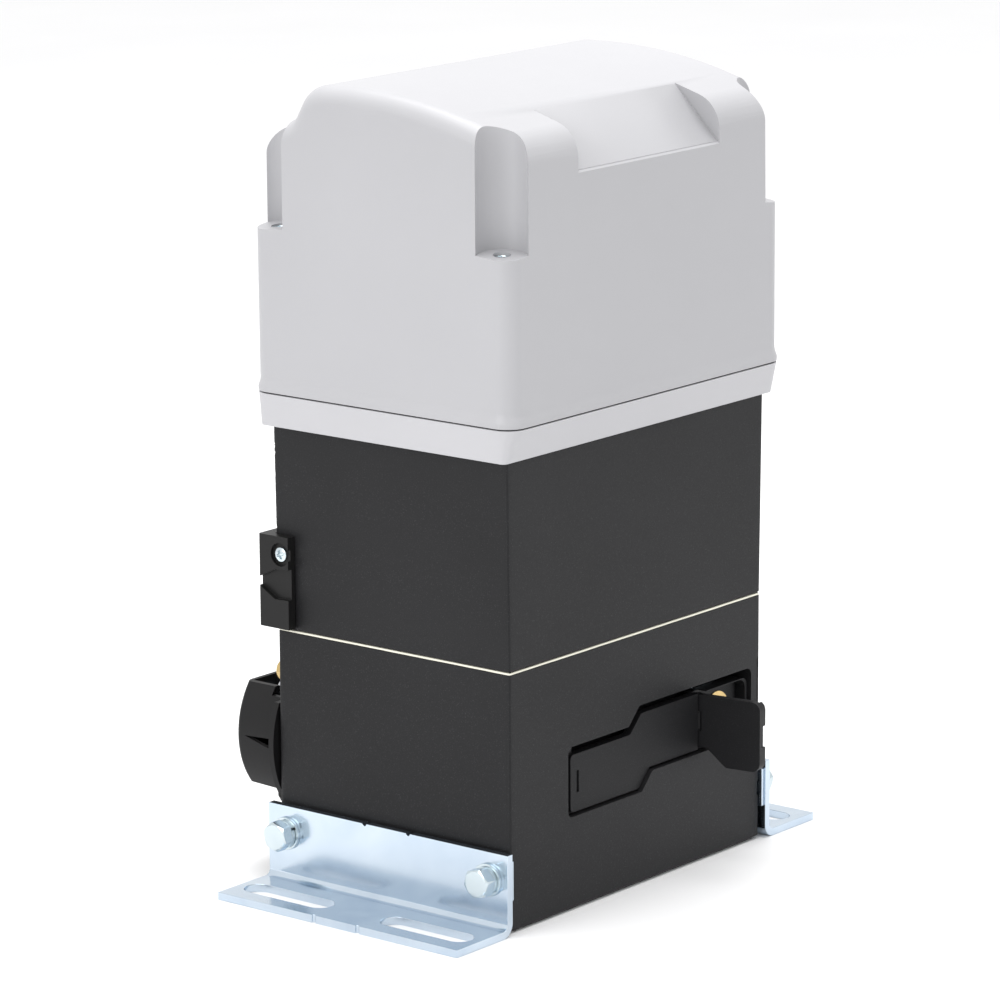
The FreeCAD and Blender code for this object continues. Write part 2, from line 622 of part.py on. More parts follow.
def lever_flap():
    """Hinged flap over the lock, shown swung open."""
    low = LEVER_LOW + POCKET_STEP
    mid = (low + LEVER_HIGH + POCKET_STEP) / 2
    wire = soft_outline(flap_points(), [0, 3, 3, 6, 6, 0], on_xz(FACE_Y))
    plate = slab(wire, V(0, FLAP_T, 0))
    knuckles = [rod_z(2.8, LEVER_LOW + 12, mid - 6.4, HINGE_X, AXIS_Y),
                rod_z(2.8, mid + 6.4, LEVER_HIGH + POCKET_STEP - 1.2, HINGE_X, AXIS_Y)]
    plate = plate.cut(box(HINGE_X - 3, HINGE_X + 3.6, FACE_Y - 1, FACE_Y + 9, mid - 6.4, mid + 6.4))
    plate = plate.cut(box(HINGE_X - 4, HINGE_X, AXIS_Y, FACE_Y + 9, 0, 200))
    body = join([plate] + knuckles)
    body = body.cut(rod_z(1.25 + FIT, 0, 200, HINGE_X, AXIS_Y))
    end = HINGE_X + FLAP_LEN
    lip = slab(wire, V(0, FLAP_LIP, 0)).common(box(end - 3, end + 1, FACE_Y, FACE_Y + 20, 0, 200))
    body = join([body, lip])
    middle = (low + LEVER_HIGH) / 2
    body = body.cut(box(end - 1.6, end + 1, FACE_Y + 2.4, FACE_Y + 20, middle - 7, middle + 7))
    body.rotate(V(HINGE_X, AXIS_Y, 0), V(0, 0, 1), -FLAP_OPEN)
    return body


def flap_pin():
    """Pin of the flap hinge."""
    low = LEVER_LOW + POCKET_STEP
    return rod_z(1.25, low + 0.8, LEVER_HIGH + POCKET_STEP - 1.4, HINGE_X, AXIS_Y)


def lever_pin():
    """Upright pivot pin of the lever, held in the casing."""
    return rod_z(3.0, POCKET_LOW - 5, POCKET_LOW + POCKET_TALL + 5, PIVOT_X, PIVOT_Y)


def lock_cylinder():
    """Brass lock with key slot, a shoulder, a barrel and a cross bar at the back."""
    face = SEAT_FLOOR_Y - 0.6
    disc = rod_y(LOCK_R, face, SEAT_FLOOR_Y + 1.5, LOCK_X, LOCK_Z)
    plug = rod_y(LOCK_R - 5, face, LEVER_BACK_Y + 0.5, LOCK_X, LOCK_Z)
    stem = rod_y(3.2, LEVER_BACK_Y, POCKET_Y + 2.6, LOCK_X, LOCK_Z)
    bar = box(LOCK_X - 3, LOCK_X + 3, POCKET_Y + 0.4, POCKET_Y + 2.6, LOCK_Z - 11, LOCK_Z + 11)
    body = join([disc, plug, stem, bar])
    rim = rod_y(LOCK_R - 4, face - 1, face + 0.5, LOCK_X, LOCK_Z).cut(
        rod_y(LOCK_R - 5, face - 1, face + 0.5, LOCK_X, LOCK_Z))
    key = box(LOCK_X - 1.1, LOCK_X + 1.1, face - 1, face + 8, LOCK_Z - 4.5, LOCK_Z + 4.5)
    return body.cut(rim).cut(key)


def keeper_plate():
    """Steel plate on the pocket floor that the lock bar turns behind."""
    plate = rod_y(22.5, POCKET_Y - 1.6, POCKET_Y, LOCK_X, LOCK_Z)
    plate = plate.common(box(LOCK_X - 24, LOCK_X + 24, POCKET_Y - 2, POCKET_Y, LOCK_Z - 19, LOCK_Z + 19))
    plate = plate.cut(keeper_slot(POCKET_Y - 3, POCKET_Y + 1, 0.3))
    for dx in (-19, 19):
        plate = plate.cut(rod_y(2.2, POCKET_Y - 3, POCKET_Y + 1, LOCK_X + dx, LOCK_Z))
    return plate


def keeper_screws():
    """Two small screws of the keeper plate."""
    parts = []
    for dx in (-19, 19):
        head = rod_y(3.3, POCKET_Y - 3.2, POCKET_Y - 1.6, LOCK_X + dx, LOCK_Z)
        parts.append(join([head, rod_y(2, POCKET_Y - 2, POCKET_Y + 4, LOCK_X + dx, LOCK_Z)]))
    return Part.makeCompound(parts)


def release_rod():
    """Push rod with a flat head, from the lever cam to the clutch."""
    head = rod_y(ROD_HEAD_R, ROD_FRONT_Y, ROD_FRONT_Y + 3, AXLE_X, AXLE_Z)
    return join([head, rod_y(ROD_R, ROD_FRONT_Y + 1, CLUTCH_PIN_Y - 2.5 - GAP, AXLE_X, AXLE_Z)])


# Cross shaft with wheel, clutch, bearings and pinion

def output_shaft():
    """Hollow cross shaft with shoulders, a slot for the clutch pin and a keyway."""
    parts = [rod_y(12.5, SHAFT_SEATS[0], SHAFT_SEATS[1] + 6, AXLE_X, AXLE_Z),
             rod_y(SHAFT_R, SHAFT_SEATS[1], SHAFT_END_Y, AXLE_X, AXLE_Z),
             rod_y(18, SHAFT_SEATS[1] + 6, WHEEL_Y[0] - GAP, AXLE_X, AXLE_Z),
             rod_y(18, SEAT_Y - 22, BACK_BEARING[0], AXLE_X, AXLE_Z)]
    body = join(parts)
    bore = rod_y(ROD_R + 0.6, SHAFT_SEATS[0] - 1, CLUTCH_PIN_Y + 12, AXLE_X, AXLE_Z)
    slot = join([rod_x(3.2, -60 + AXLE_X, 60 + AXLE_X, CLUTCH_PIN_Y, AXLE_Z),
                 rod_x(3.2, -60 + AXLE_X, 60 + AXLE_X, CLUTCH_PIN_Y + ROD_TRAVEL + 0.6, AXLE_Z),
                 box(AXLE_X - 60, AXLE_X + 60, CLUTCH_PIN_Y, CLUTCH_PIN_Y + ROD_TRAVEL + 0.6,
                     AXLE_Z - 3.2, AXLE_Z + 3.2)])
    thread = rod_y(5, SHAFT_END_Y - 24, SHAFT_END_Y + 1, AXLE_X, AXLE_Z)
    key = box(AXLE_X - 4, AXLE_X + 4, PINION_Y[0] + 2, SHAFT_END_Y + 1, AXLE_Z + SHAFT_R - 4, AXLE_Z + 20)
    for tool in (bore, slot, thread, key):
        body = body.cut(tool)
    return body


def worm_wheel():
    """Bronze wheel with straight teeth cut for the worm and a friction face."""
    wire = gear_outline(WHEEL_TEETH, WORM_MODULE, 0.75, on_wheel)
    body = slab(wire, V(0, WHEEL_T, 0))
    body = body.cut(rod_y(SHAFT_R + FIT, -50, 50, AXLE_X, AXLE_Z))
    ring = rod_y(WHEEL_R - 8, -50, WHEEL_Y[0] + 5, AXLE_X, AXLE_Z).cut(rod_y(24, -50, 50, AXLE_X, AXLE_Z))
    body = body.cut(ring)
    throat = rod_z(WORM_R + WORM_MODULE * 1.25 - 0.2, 0, 200, MOTOR_X, 0)
    body = body.cut(throat)
    lining = rod_y(38, WHEEL_Y[1] - 0.5, WHEEL_Y[1] + 2, AXLE_X, AXLE_Z)
    lining = lining.cut(rod_y(22, -50, 50, AXLE_X, AXLE_Z))
    return join([body, lining])


def on_wheel(p):
    """Turn a pair into a point on the wheel's front face."""
    return V(AXLE_X + p[0], WHEEL_Y[0], AXLE_Z + p[1])


def clutch_disc():
    """Steel disc that the springs press against the wheel."""
    body = join([rod_y(38, CLUTCH_Y[0], CLUTCH_Y[1], AXLE_X, AXLE_Z),
                 rod_y(24, CLUTCH_Y[0], CLUTCH_PIN_Y + 5, AXLE_X, AXLE_Z)])
    body = body.cut(rod_y(SHAFT_R + FIT, 0, 60, AXLE_X, AXLE_Z))
    return body.cut(rod_x(2.5, AXLE_X - 60, AXLE_X + 60, CLUTCH_PIN_Y, AXLE_Z))


def clutch_pin():
    """Cross pin through the shaft that moves the clutch disc."""
    return rod_x(2.5, AXLE_X - 23.5, AXLE_X + 23.5, CLUTCH_PIN_Y, AXLE_Z)


def clutch_springs():
    """Stack of dished spring washers behind the clutch disc."""
    parts = []
    start = CLUTCH_PIN_Y + 6 + ROD_TRAVEL
    pitch = (SEAT_Y - 22 - start) / SPRINGS
    for k in range(SPRINGS):
        ring = rod_y(28.5, start + k * pitch + 0.5, start + (k + 1) * pitch, AXLE_X, AXLE_Z)
        parts.append(ring.cut(rod_y(16.5, 0, 200, AXLE_X, AXLE_Z)))
    return Part.makeCompound(parts)


def bearing(r_in, r_out, length, start, push):
    """Sealed ball bearing, drawn as one ring."""
    ring = Part.makeCylinder(r_out, length, start, push)
    return ring.cut(Part.makeCylinder(r_in + 0.02, length, start, push))


def y_bearing(r_in, r_out, y0, y1):
    """Bearing of the cross shaft."""
    return bearing(r_in, r_out, y1 - y0, V(AXLE_X, y0, AXLE_Z), V(0, 1, 0))


def z_bearing(r_in, r_out, z0, z1):
    """Bearing of the motor shaft."""
    return bearing(r_in, r_out, z1 - z0, V(MOTOR_X, 0, z0), V(0, 0, 1))


def shaft_seal():
    """Lip seal in the back wall."""
    ring = rod_y(23.5, SEAT_Y, SEAT_Y + 7, AXLE_X, AXLE_Z)
    return ring.cut(rod_y(SHAFT_R + 0.04, 0, 200, AXLE_X, AXLE_Z))


def pinion():
    """Rack pinion with hub and keyway."""
    wire = gear_outline(PINION_TEETH, PINION_MODULE, 0.1,
                        lambda p: V(AXLE_X + p[0], PINION_Y[0], AXLE_Z + p[1]))
    body = slab(wire, V(0, PINION_T, 0))
    hub = rod_y(22, PINION_Y[0] - 4.5, PINION_Y[0] + 2, AXLE_X, AXLE_Z)
    body = join([body, hub])
    body = body.cut(rod_y(SHAFT_R, 0, 300, AXLE_X, AXLE_Z))
    return body.cut(box(AXLE_X - 4, AXLE_X + 4, 0, 300, AXLE_Z, AXLE_Z + SHAFT_R + 3.3))


def pinion_key():
    """Parallel key between shaft and pinion."""
    top = AXLE_Z + SHAFT_R
    return box(AXLE_X - 4, AXLE_X + 4, PINION_Y[0] + 2, SHAFT_END_Y - 1, top - 4, top + 3)


def pinion_washer():
    """Wide washer over the end of the shaft."""
    return rod_y(20, SHAFT_END_Y, SHAFT_END_Y + 2, AXLE_X, AXLE_Z).cut(
        rod_y(5.2, 0, 300, AXLE_X, AXLE_Z))


def pinion_bolt():
    """Hexagon bolt in the end of the shaft."""
    y = SHAFT_END_Y + 2
    head = hex_head(BOLT_AF, 4.4, lambda p: V(AXLE_X + p[0], y, AXLE_Z + p[1]), V(0, 1, 0))
    return join([head, rod_y(5, SHAFT_END_Y - 20, y + 1, AXLE_X, AXLE_Z)])


def pinion_guard():
    """Moulded guard: flange, truncated drum open at the top, and side vents."""
    y0 = FACE + 2
    y1 = FACE + GUARD_DEPTH
    drum = rod_y(GUARD_R, y0, y1, AXLE_X, GUARD_Z)
    rim = [e for e in drum.Edges if abs(e.BoundBox.YMin - y1) < 1e-6]
    drum = drum.makeFillet(4, rim)
    hollow = rod_y(GUARD_R - GUARD_WALL, y0 - 5, y1 - GUARD_WALL, AXLE_X, GUARD_Z)
    top = box(-300, 300, 0, 300, GUARD_Z + GUARD_TOP, 300)
    floor = GUARD_Z - GUARD_LOW
    slope = [(y0 - 9, floor - 3), (y1 + 9, floor + 0.4), (y1 + 9, 0), (y0 - 9, 0)]
    low = slab(soft_outline(slope, [0] * 4, on_yz(-300)), V(600, 0, 0))
    low_in = low.translated(V(0, 0, GUARD_WALL))
    drum = drum.cut(top).cut(low)
    drum = drum.cut(hollow.cut(low_in))
    flange = rod_y(GUARD_FLANGE_R, y0, y0 + 4, AXLE_X, GUARD_Z)
    flange = flange.cut(rod_y(44, 0, 300, AXLE_X, GUARD_Z))
    feet = [rod_y(6, FACE, y0 + 4, x, z) for x, z in GUARD_SCREWS]
    body = join([flange, drum] + feet)
    body = body.cut(rod_y(42.5, FACE - 1, y0 + 5, AXLE_X, GUARD_Z))
    body = body.cut(box(-300, 300, FACE - 1, FACE + 17.5, GUARD_Z + GUARD_TOP - 5.3, 300))
    for side in (-1, 1):
        pts = [(FACE + 34.5, GUARD_Z + 0.4), (FACE + 6, GUARD_Z + 1.8), (FACE + 6, GUARD_Z - 7.4)]
        wedge = Part.makePolygon([V(AXLE_X, q, w) for q, w in pts + [pts[0]]])
        body = body.cut(slab(wedge, V(side * 80, 0, 0)))
    for x, z in GUARD_SCREWS:
        body = body.cut(rod_y(2.7, FACE - 1, FACE + 9, x, z))
    return body.removeSplitter()


def guard_screws():
    """Three screws of the guard flange."""
    parts = []
    for x, z in GUARD_SCREWS:
        head = rod_y(4.2, FACE + 6, FACE + 9, x, z)
        head = head.cut(rod_y(1.6, FACE + 7.4, FACE + 10, x, z))
        parts.append(join([head, rod_y(2.5, FACE - 5, FACE + 6.5, x, z)]))
    return Part.makeCompound(parts)


# Motor

def worm_shaft():
    """Motor shaft with the worm thread and the bearing seats."""
    core_r = WORM_R - 1.25 * WORM_MODULE
    parts = [rod_z(core_r, 32, 134, MOTOR_X, 0),
             rod_z(7.5, 14.4, 33, MOTOR_X, 0),
             rod_z(10, 133, CAP_Z + 2.6, MOTOR_X, 0),
             rod_z(7.5, CAP_Z + 2, CAP_Z + 13.5, MOTOR_X, 0)]
    body = join(parts)
    long = WORM_TURNS * PITCH
    z0 = AXLE_Z - long / 2
    helix = Part.makeHelix(PITCH, long, core_r - 0.6)
    half_root = PITCH * 0.30
    half_tip = PITCH * 0.14
    r0 = core_r - 0.6
    r1 = WORM_R + WORM_MODULE
    pts = [V(r0, 0, -half_root), V(r1, 0, -half_tip), V(r1, 0, half_tip), V(r0, 0, half_root)]
    profile = Part.makePolygon(pts + [pts[0]])
    thread = Part.Wire(helix.Edges).makePipeShell([profile], True, True)
    thread = Part.Solid(thread) if thread.ShapeType == "Shell" else thread
    thread.translate(V(MOTOR_X, 0, z0))
    return join([body, thread])


def rotor():
    """Laminated rotor with its end rings."""
    body = rod_z(ROTOR_R, CORE_Z0, CORE_Z0 + CORE_LONG, MOTOR_X, 0)
    rings = [rod_z(ROTOR_R - 2, CORE_Z0 - 6, CORE_Z0 + 1, MOTOR_X, 0),
             rod_z(ROTOR_R - 2, CORE_Z0 + CORE_LONG - 1, CORE_Z0 + CORE_LONG + 6, MOTOR_X, 0)]
    body = join([body] + rings)
    return body.cut(rod_z(10, 0, 400, MOTOR_X, 0))


def stator():
    """Laminated stator ring with slots towards the rotor."""
    body = rod_z(STATOR_R, CORE_Z0, CORE_Z0 + CORE_LONG, MOTOR_X, 0)
    body = body.cut(rod_z(ROTOR_R + 0.5, 0, 400, MOTOR_X, 0))
    slot = box(ROTOR_R + 3, ROTOR_R + 17, -2.6, 2.6, CORE_Z0 - 1, CORE_Z0 + CORE_LONG + 1)
    slots = []
    for k in range(12):
        s = slot.copy()
        s.rotate(V(0, 0, 0), V(0, 0, 1), 30 * k)
        s.translate(V(MOTOR_X, 0, 0))
        slots.append(s)
    return body.cut(slots)


def windings():
    """Two copper end turns, above and below the stator."""
    parts = []
    for z0, z1 in ((CORE_Z0 - 14, CORE_Z0), (CORE_Z0 + CORE_LONG, CORE_Z0 + CORE_LONG + 14)):
        ring = rod_z(ROTOR_R + 20, z0, z1, MOTOR_X, 0).cut(rod_z(ROTOR_R + 4, z0 - 1, z1 + 1, MOTOR_X, 0))
        parts.append(ring)
    return Part.makeCompound(parts)


def motor_cap():
    """End cover of the motor with the upper bearing seat."""
    body = join([rod_z(STATOR_R + 6, CAP_Z, CAP_Z + 5, MOTOR_X, 0),
                 rod_z(23, CAP_Z, CAP_Z + 16, MOTOR_X, 0)])
    for x, y in CAP_SCREWS:
        body = body.cut(rod_z(2.2, CAP_Z - 1, CAP_Z + 9, x, y))
    for x, y in around(45, range(0, 360, 60), MOTOR_X, 0):
        body = body.cut(rod_z(8, CAP_Z - 1, CAP_Z + 9, x, y))
    body = body.cut(rod_z(17.5, CAP_Z + 3, CAP_Z + 14, MOTOR_X, 0))
    return body.cut(rod_z(11, CAP_Z - 1, CAP_Z + 9, MOTOR_X, 0))


def cap_screws():
    """Four screws of the motor end cover."""
    parts = []
    for x, y in CAP_SCREWS:
        head = rod_z(3.6, CAP_Z + 5, CAP_Z + 8, x, y)
        parts.append(join([head, rod_z(1.6, CAP_Z - 11, CAP_Z + 6, x, y)]))
    return Part.makeCompound(parts)


# Brackets and their fasteners

def bracket():
    """Left angle bracket: bent plate with two long slots in the foot."""
    inner = -SIDE - PAD_T
    outer = inner - BRACKET_T
    half = BRACKET_LONG / 2
    pts = [(inner, 0.0), (inner, BRACKET_TALL), (outer, BRACKET_TALL), (outer, BRACKET_T),
           (-BRACKET_OUT, BRACKET_T), (-BRACKET_OUT, 0.0)]
    body = slab(soft_outline(pts, [9, 0, 0, 4, 0, 0], on_xz(-half)), V(0, BRACKET_LONG, 0))
    for y in (-SLOT_Y, SLOT_Y):
        slot = block(2 * SLOT_HALF_W, SLOT_LONG, SLOT_HALF_W - 0.001, -1, BRACKET_T + 1)
        slot.translate(V(-SLOT_X, y, 0))
        body = body.cut(slot)
    for y in (-BOLT_Y, BOLT_Y):
        body = body.cut(rod_x(5.5, outer - 1, inner + 1, y, BOLT_Z))
    for y in (-17.5, 17.5):
        body = body.cut(rod_x(1.5, outer - 1, inner + 1, y, BRACKET_TALL))
        body = body.cut(rod_z(1.5, -1, BRACKET_T + 1, -BRACKET_OUT, y))
    return body


def both_sides(shape):
    """A piece of the left side together with its mirrored twin."""
    return [shape, shape.mirror(V(0, 0, 0), V(1, 0, 0))]


def bracket_pads():
    """Spacer plates between the brackets and the casing."""
    parts = []
    for y in (-BOLT_Y, BOLT_Y):
        pad = box(-SIDE - PAD_T, -SIDE, y - 14, y + 14, BOLT_Z - 12.5, BOLT_Z + 12.5)
        pad = pad.cut(rod_x(5.5, -SIDE - 9, -SIDE + 9, y, BOLT_Z))
        parts += both_sides(pad)
    return Part.makeCompound(parts)


def flat_washers():
    """Plain washers against the brackets."""
    parts = []
    for y in (-BOLT_Y, BOLT_Y):
        ring = rod_x(10.5, PLATE_X - 2.2, PLATE_X, y, BOLT_Z)
        ring = ring.cut(rod_x(5.3, PLATE_X - 3, PLATE_X + 1, y, BOLT_Z))
        parts += both_sides(ring)
    return Part.makeCompound(parts)


def spring_washers():
    """Split spring washers under the bolt heads."""
    parts = []
    x1 = PLATE_X - 2.2
    for y in (-BOLT_Y, BOLT_Y):
        ring = rod_x(9, x1 - 2.6, x1, y, BOLT_Z).cut(rod_x(5.3, x1 - 3, x1 + 1, y, BOLT_Z))
        ring = ring.cut(box(x1 - 4, x1 + 1, y - 0.7, y + 0.7, BOLT_Z, BOLT_Z + 20))
        parts += both_sides(ring)
    return Part.makeCompound(parts)


def bracket_bolts():
    """Four hexagon bolts that hold the brackets to the casing."""
    parts = []
    x1 = PLATE_X - 4.8
    for y in (-BOLT_Y, BOLT_Y):
        head = hex_head(BOLT_AF, 8.0, lambda p: V(x1, y + p[0], BOLT_Z + p[1]), V(-1, 0, 0))
        bolt = join([head, rod_x(5, x1 - 1, -SIDE + 18, y, BOLT_Z)])
        parts += both_sides(bolt)
    return Part.makeCompound(parts)


# Outside fittings

def limit_sensor():
    """Limit sensor block that wraps the back left edge of the upper casing."""
    z0, z1 = SENSOR_Z
    lean = CASE_TOP_GROW / 2 * (z1 - UPPER_Z) / (CASE_TOP_Z - UPPER_Z)
    side = box(-SIDE - SENSOR_OUT, -SIDE + 4, SENSOR_Y[0], SENSOR_Y[1], z0, z1)
    rear = box(-SIDE - SENSOR_OUT, -SIDE + 34, FACE + 2, SENSOR_Y[1], z0, z1)
    body = join([side, rear])
    edges = [e for e in body.Edges if e.BoundBox.ZLength > 50 and e.BoundBox.YMin > SENSOR_Y[1] - 1e-3]
    body = body.makeFillet(1.2, edges)
    room = box(-SIDE - lean - SENSOR_GAP, 0, 0, FACE + 0.2 + SENSOR_GAP, z0 - 1, z1 + 1)
    body = body.cut(room)
    notch = [(SENSOR_Y[0] - 1, z0 + 38.5), (SENSOR_Y[0] + 11, z0 + 37.5), (SENSOR_Y[1] + 1, z0 + 31),
             (SENSOR_Y[1] + 1, z0 + 26.5), (SENSOR_Y[0] + 11, z0 + 18.5), (SENSOR_Y[0] - 1, z0 + 19)]
    wire = Part.makePolygon([V(-SIDE - SENSOR_OUT - 1, q, w) for q, w in notch + [notch[0]]])
    body = body.cut(slab(wire, V(4.2, 0, 0)))
    y, z = SENSOR_SCREW
    body = body.cut(rod_x(7.4, -SIDE - SENSOR_OUT - 1, -SIDE - SENSOR_OUT + 2.4, y, z))
    body = body.cut(rod_x(2.3, -SIDE - 20, -SIDE + 20, y, z))
    eye = rod_y(9, SENSOR_Y[1] - 1, SENSOR_Y[1] + 3, -SIDE + 16, (z0 + z1) / 2)
    return join([body, eye])


def sensor_screw():
    """Cross-head screw of the limit sensor."""
    y, z = SENSOR_SCREW
    x = -SIDE - SENSOR_OUT + 2.4
    head = rod_x(4.5, x - 2.6, x, y, z)
    rim = [e for e in head.Edges if abs(e.BoundBox.XMax - (x - 2.6)) < 1e-6]
    head = head.makeFillet(1.6, rim)
    cross = join([box(x - 3, x - 1, y - 2.6, y + 2.6, z - 0.5, z + 0.5),
                  box(x - 3, x - 1, y - 0.5, y + 0.5, z - 2.6, z + 2.6)])
    head = head.cut(cross)
    return join([head, rod_x(2.1, x - 1, x + 12, y, z)])


def oil_plug():
    """Brass filler plug in the back wall."""
    head = hex_head(12.0, 5.0, lambda p: V(PLUG_X + p[0], FACE + 1.2, PLUG_Z + p[1]), V(0, 1, 0))
    collar = rod_y(7.0, FACE, FACE + 1.8, PLUG_X, PLUG_Z)
    return join([head, collar, rod_y(5, FACE - 10, FACE + 1, PLUG_X, PLUG_Z)])


def casing_bolts():
    """Four screws that clamp the two casings together."""
    parts = []
    for x, y in JOINT_SCREWS:
        parts.append(rod_z(3.0, JOINT_Z - 15, UPPER_Z + 8, x, y))
    return Part.makeCompound(parts)


def tray_screws():
    """Four screws that hold the tray to the upper casing."""
    parts = []
    for x, y in TRAY_SCREWS:
        z = CASE_TOP_Z + 4
        parts.append(join([rod_z(4.2, z, z + 3, x, y), rod_z(2.5, CASE_TOP_Z - 13, z + 1, x, y)]))
    return Part.makeCompound(parts)


def hood_screws():
    """Four socket screws sunk in the ledges of the hood."""
    parts = []
    for x, y in HOOD_SCREWS:
        z = PILLAR_Z + 4
        head = rod_z(5.0, z, z + 5, x, y).cut(rod_z(2.4, z + 2, z + 6, x, y))
        parts.append(join([head, rod_z(2.5, PILLAR_Z - 18, z + 1, x, y)]))
    return Part.makeCompound(parts)


# Electronics under the hood

def control_board():
    """Circuit board with holes for its posts."""
    body = box(BOARD_X[0], BOARD_X[1], BOARD_Y[0], BOARD_Y[1], BOARD_Z, BOARD_Z + 1.6)
    for x, y in BOARD_POSTS:
        body = body.cut(rod_z(1.7, 0, 400, x, y))
    return body


def board_screws():
    """Screws of the circuit board."""
    parts = []
    for x, y in BOARD_POSTS:
        z = BOARD_Z + 1.6
        parts.append(join([rod_z(3, z, z + 2.2, x, y), rod_z(1.5, BOARD_Z - 7, z + 1, x, y)]))
    return Part.makeCompound(parts)


def terminal_blocks():
    """Three rows of screw terminals along the front of the board."""
    parts = []
    for x0, count in ((-98, 6), (-34, 4), (10, 3)):
        body = box(x0, x0 + 10 * count, BOARD_Y[0] + 4, BOARD_Y[0] + 20, BOARD_Z + 1.6, BOARD_Z + 19)
        for k in range(count):
            x = x0 + 5 + 10 * k
            body = body.cut(rod_z(2.6, BOARD_Z + 12, BOARD_Z + 20, x, BOARD_Y[0] + 13))
            body = body.cut(box(x - 3, x + 3, BOARD_Y[0] + 3, BOARD_Y[0] + 9, BOARD_Z + 5, BOARD_Z + 10))
        parts.append(body)
    return Part.makeCompound(parts)


def relays():
    """Four relays on the board."""
    parts = []
    for k in range(4):
        x = -100 + 26 * k
        parts.append(box(x, x + 19, 10, 38, BOARD_Z + 1.6, BOARD_Z + 24))
    return Part.makeCompound(parts)


def transformer():
    """Laminated transformer with its two coils, beside the board."""
    z0 = CASE_TOP_Z + 4
    core = box(66, 118, -44, 18, z0 + 6, z0 + 62)
    core = core.cut(box(78, 106, -60, 40, z0 + 18, z0 + 50))
    core = join([core, box(86, 98, -44, 18, z0 + 10, z0 + 58)])
    feet = [box(66, 118, -44, -38, z0, z0 + 7), box(66, 118, 12, 18, z0, z0 + 7)]
    coil = box(79, 105, -40, 14, z0 + 19, z0 + 49).cut(box(86, 98, -60, 40, z0, z0 + 90))
    return join([core] + feet), coil


def capacitor():
    """Motor capacitor standing beside the board."""
    z0 = CASE_TOP_Z + 4
    x = SIDE - 36.5
    y = FACE - 42.5
    body = rod_z(19, z0, z0 + 78, x, y)
    studs = [rod_z(2.5, z0 + 77, z0 + 86, x + d, y) for d in (-6, 6)]
    return join([body] + studs)


def build():
    """Make and write every piece."""
    os.makedirs("parts", exist_ok=True)
    save("lower_casing", lower_casing())
    save("joint_gasket", joint_gasket())
    save("upper_casing", upper_casing())
    save("support_tray", support_tray())
    save("hood_gasket", hood_gasket())
    save("hood", hood())
    save("hood_screws", hood_screws())
    save("casing_bolts", casing_bolts())
    save("tray_screws", tray_screws())
    save("release_lever", release_lever())
    save("lever_flap", lever_flap())
    save("flap_pin", flap_pin())
    save("lever_pin", lever_pin())
    save("lock_cylinder", lock_cylinder())
    save("keeper_plate", keeper_plate())
    save("keeper_screws", keeper_screws())
    save("release_rod", release_rod())
    left, right = both_sides(bracket())
    save("left_bracket", left)
    save("right_bracket", right)
    save("bracket_pads", bracket_pads())
    save("flat_washers", flat_washers())
    save("spring_washers", spring_washers())
    save("bracket_bolts", bracket_bolts())
    save("output_shaft", output_shaft())
    save("worm_wheel", worm_wheel())
    save("clutch_disc", clutch_disc())
    save("clutch_pin", clutch_pin())
    save("clutch_springs", clutch_springs())
    save("front_bearing", y_bearing(12.5, 26, SHAFT_SEATS[0], SHAFT_SEATS[1]))
    save("back_bearing", y_bearing(SHAFT_R, 31, BACK_BEARING[0], BACK_BEARING[1]))
    save("shaft_seal", shaft_seal())
    save("pinion", pinion())
    save("pinion_key", pinion_key())
    save("pinion_washer", pinion_washer())
    save("pinion_bolt", pinion_bolt())
    save("pinion_guard", pinion_guard())
    save("guard_screws", guard_screws())
    save("worm_shaft", worm_shaft())
    save("rotor", rotor())
    save("stator", stator())
    save("windings", windings())
    save("motor_cap", motor_cap())
    save("cap_screws", cap_screws())
    save("toe_bearing", z_bearing(7.5, 17.5, 14, 25))
    save("deck_bearing", z_bearing(10, 23.5, UPPER_Z, UPPER_Z + 14))
    save("top_bearing", z_bearing(7.5, 17.5, CAP_Z + 3, CAP_Z + 14))
    save("limit_sensor", limit_sensor())
    save("sensor_screw", sensor_screw())
    save("oil_plug", oil_plug())
    save("control_board", control_board())
    save("board_screws", board_screws())
    save("terminal_blocks", terminal_blocks())
    save("relays", relays())
    core, coil = transformer()
    save("transformer_core", core)
    save("transformer_coil", coil)
    save("capacitor", capacitor())


build()
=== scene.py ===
"""Looks of a sliding gate motor: finishes, fine pieces, studio and camera, around its frame."""

import json
import logging
import math
from dataclasses import dataclass, field, replace
from enum import Enum

import bmesh
import bpy
import numpy as np
from mathutils import Matrix, Vector

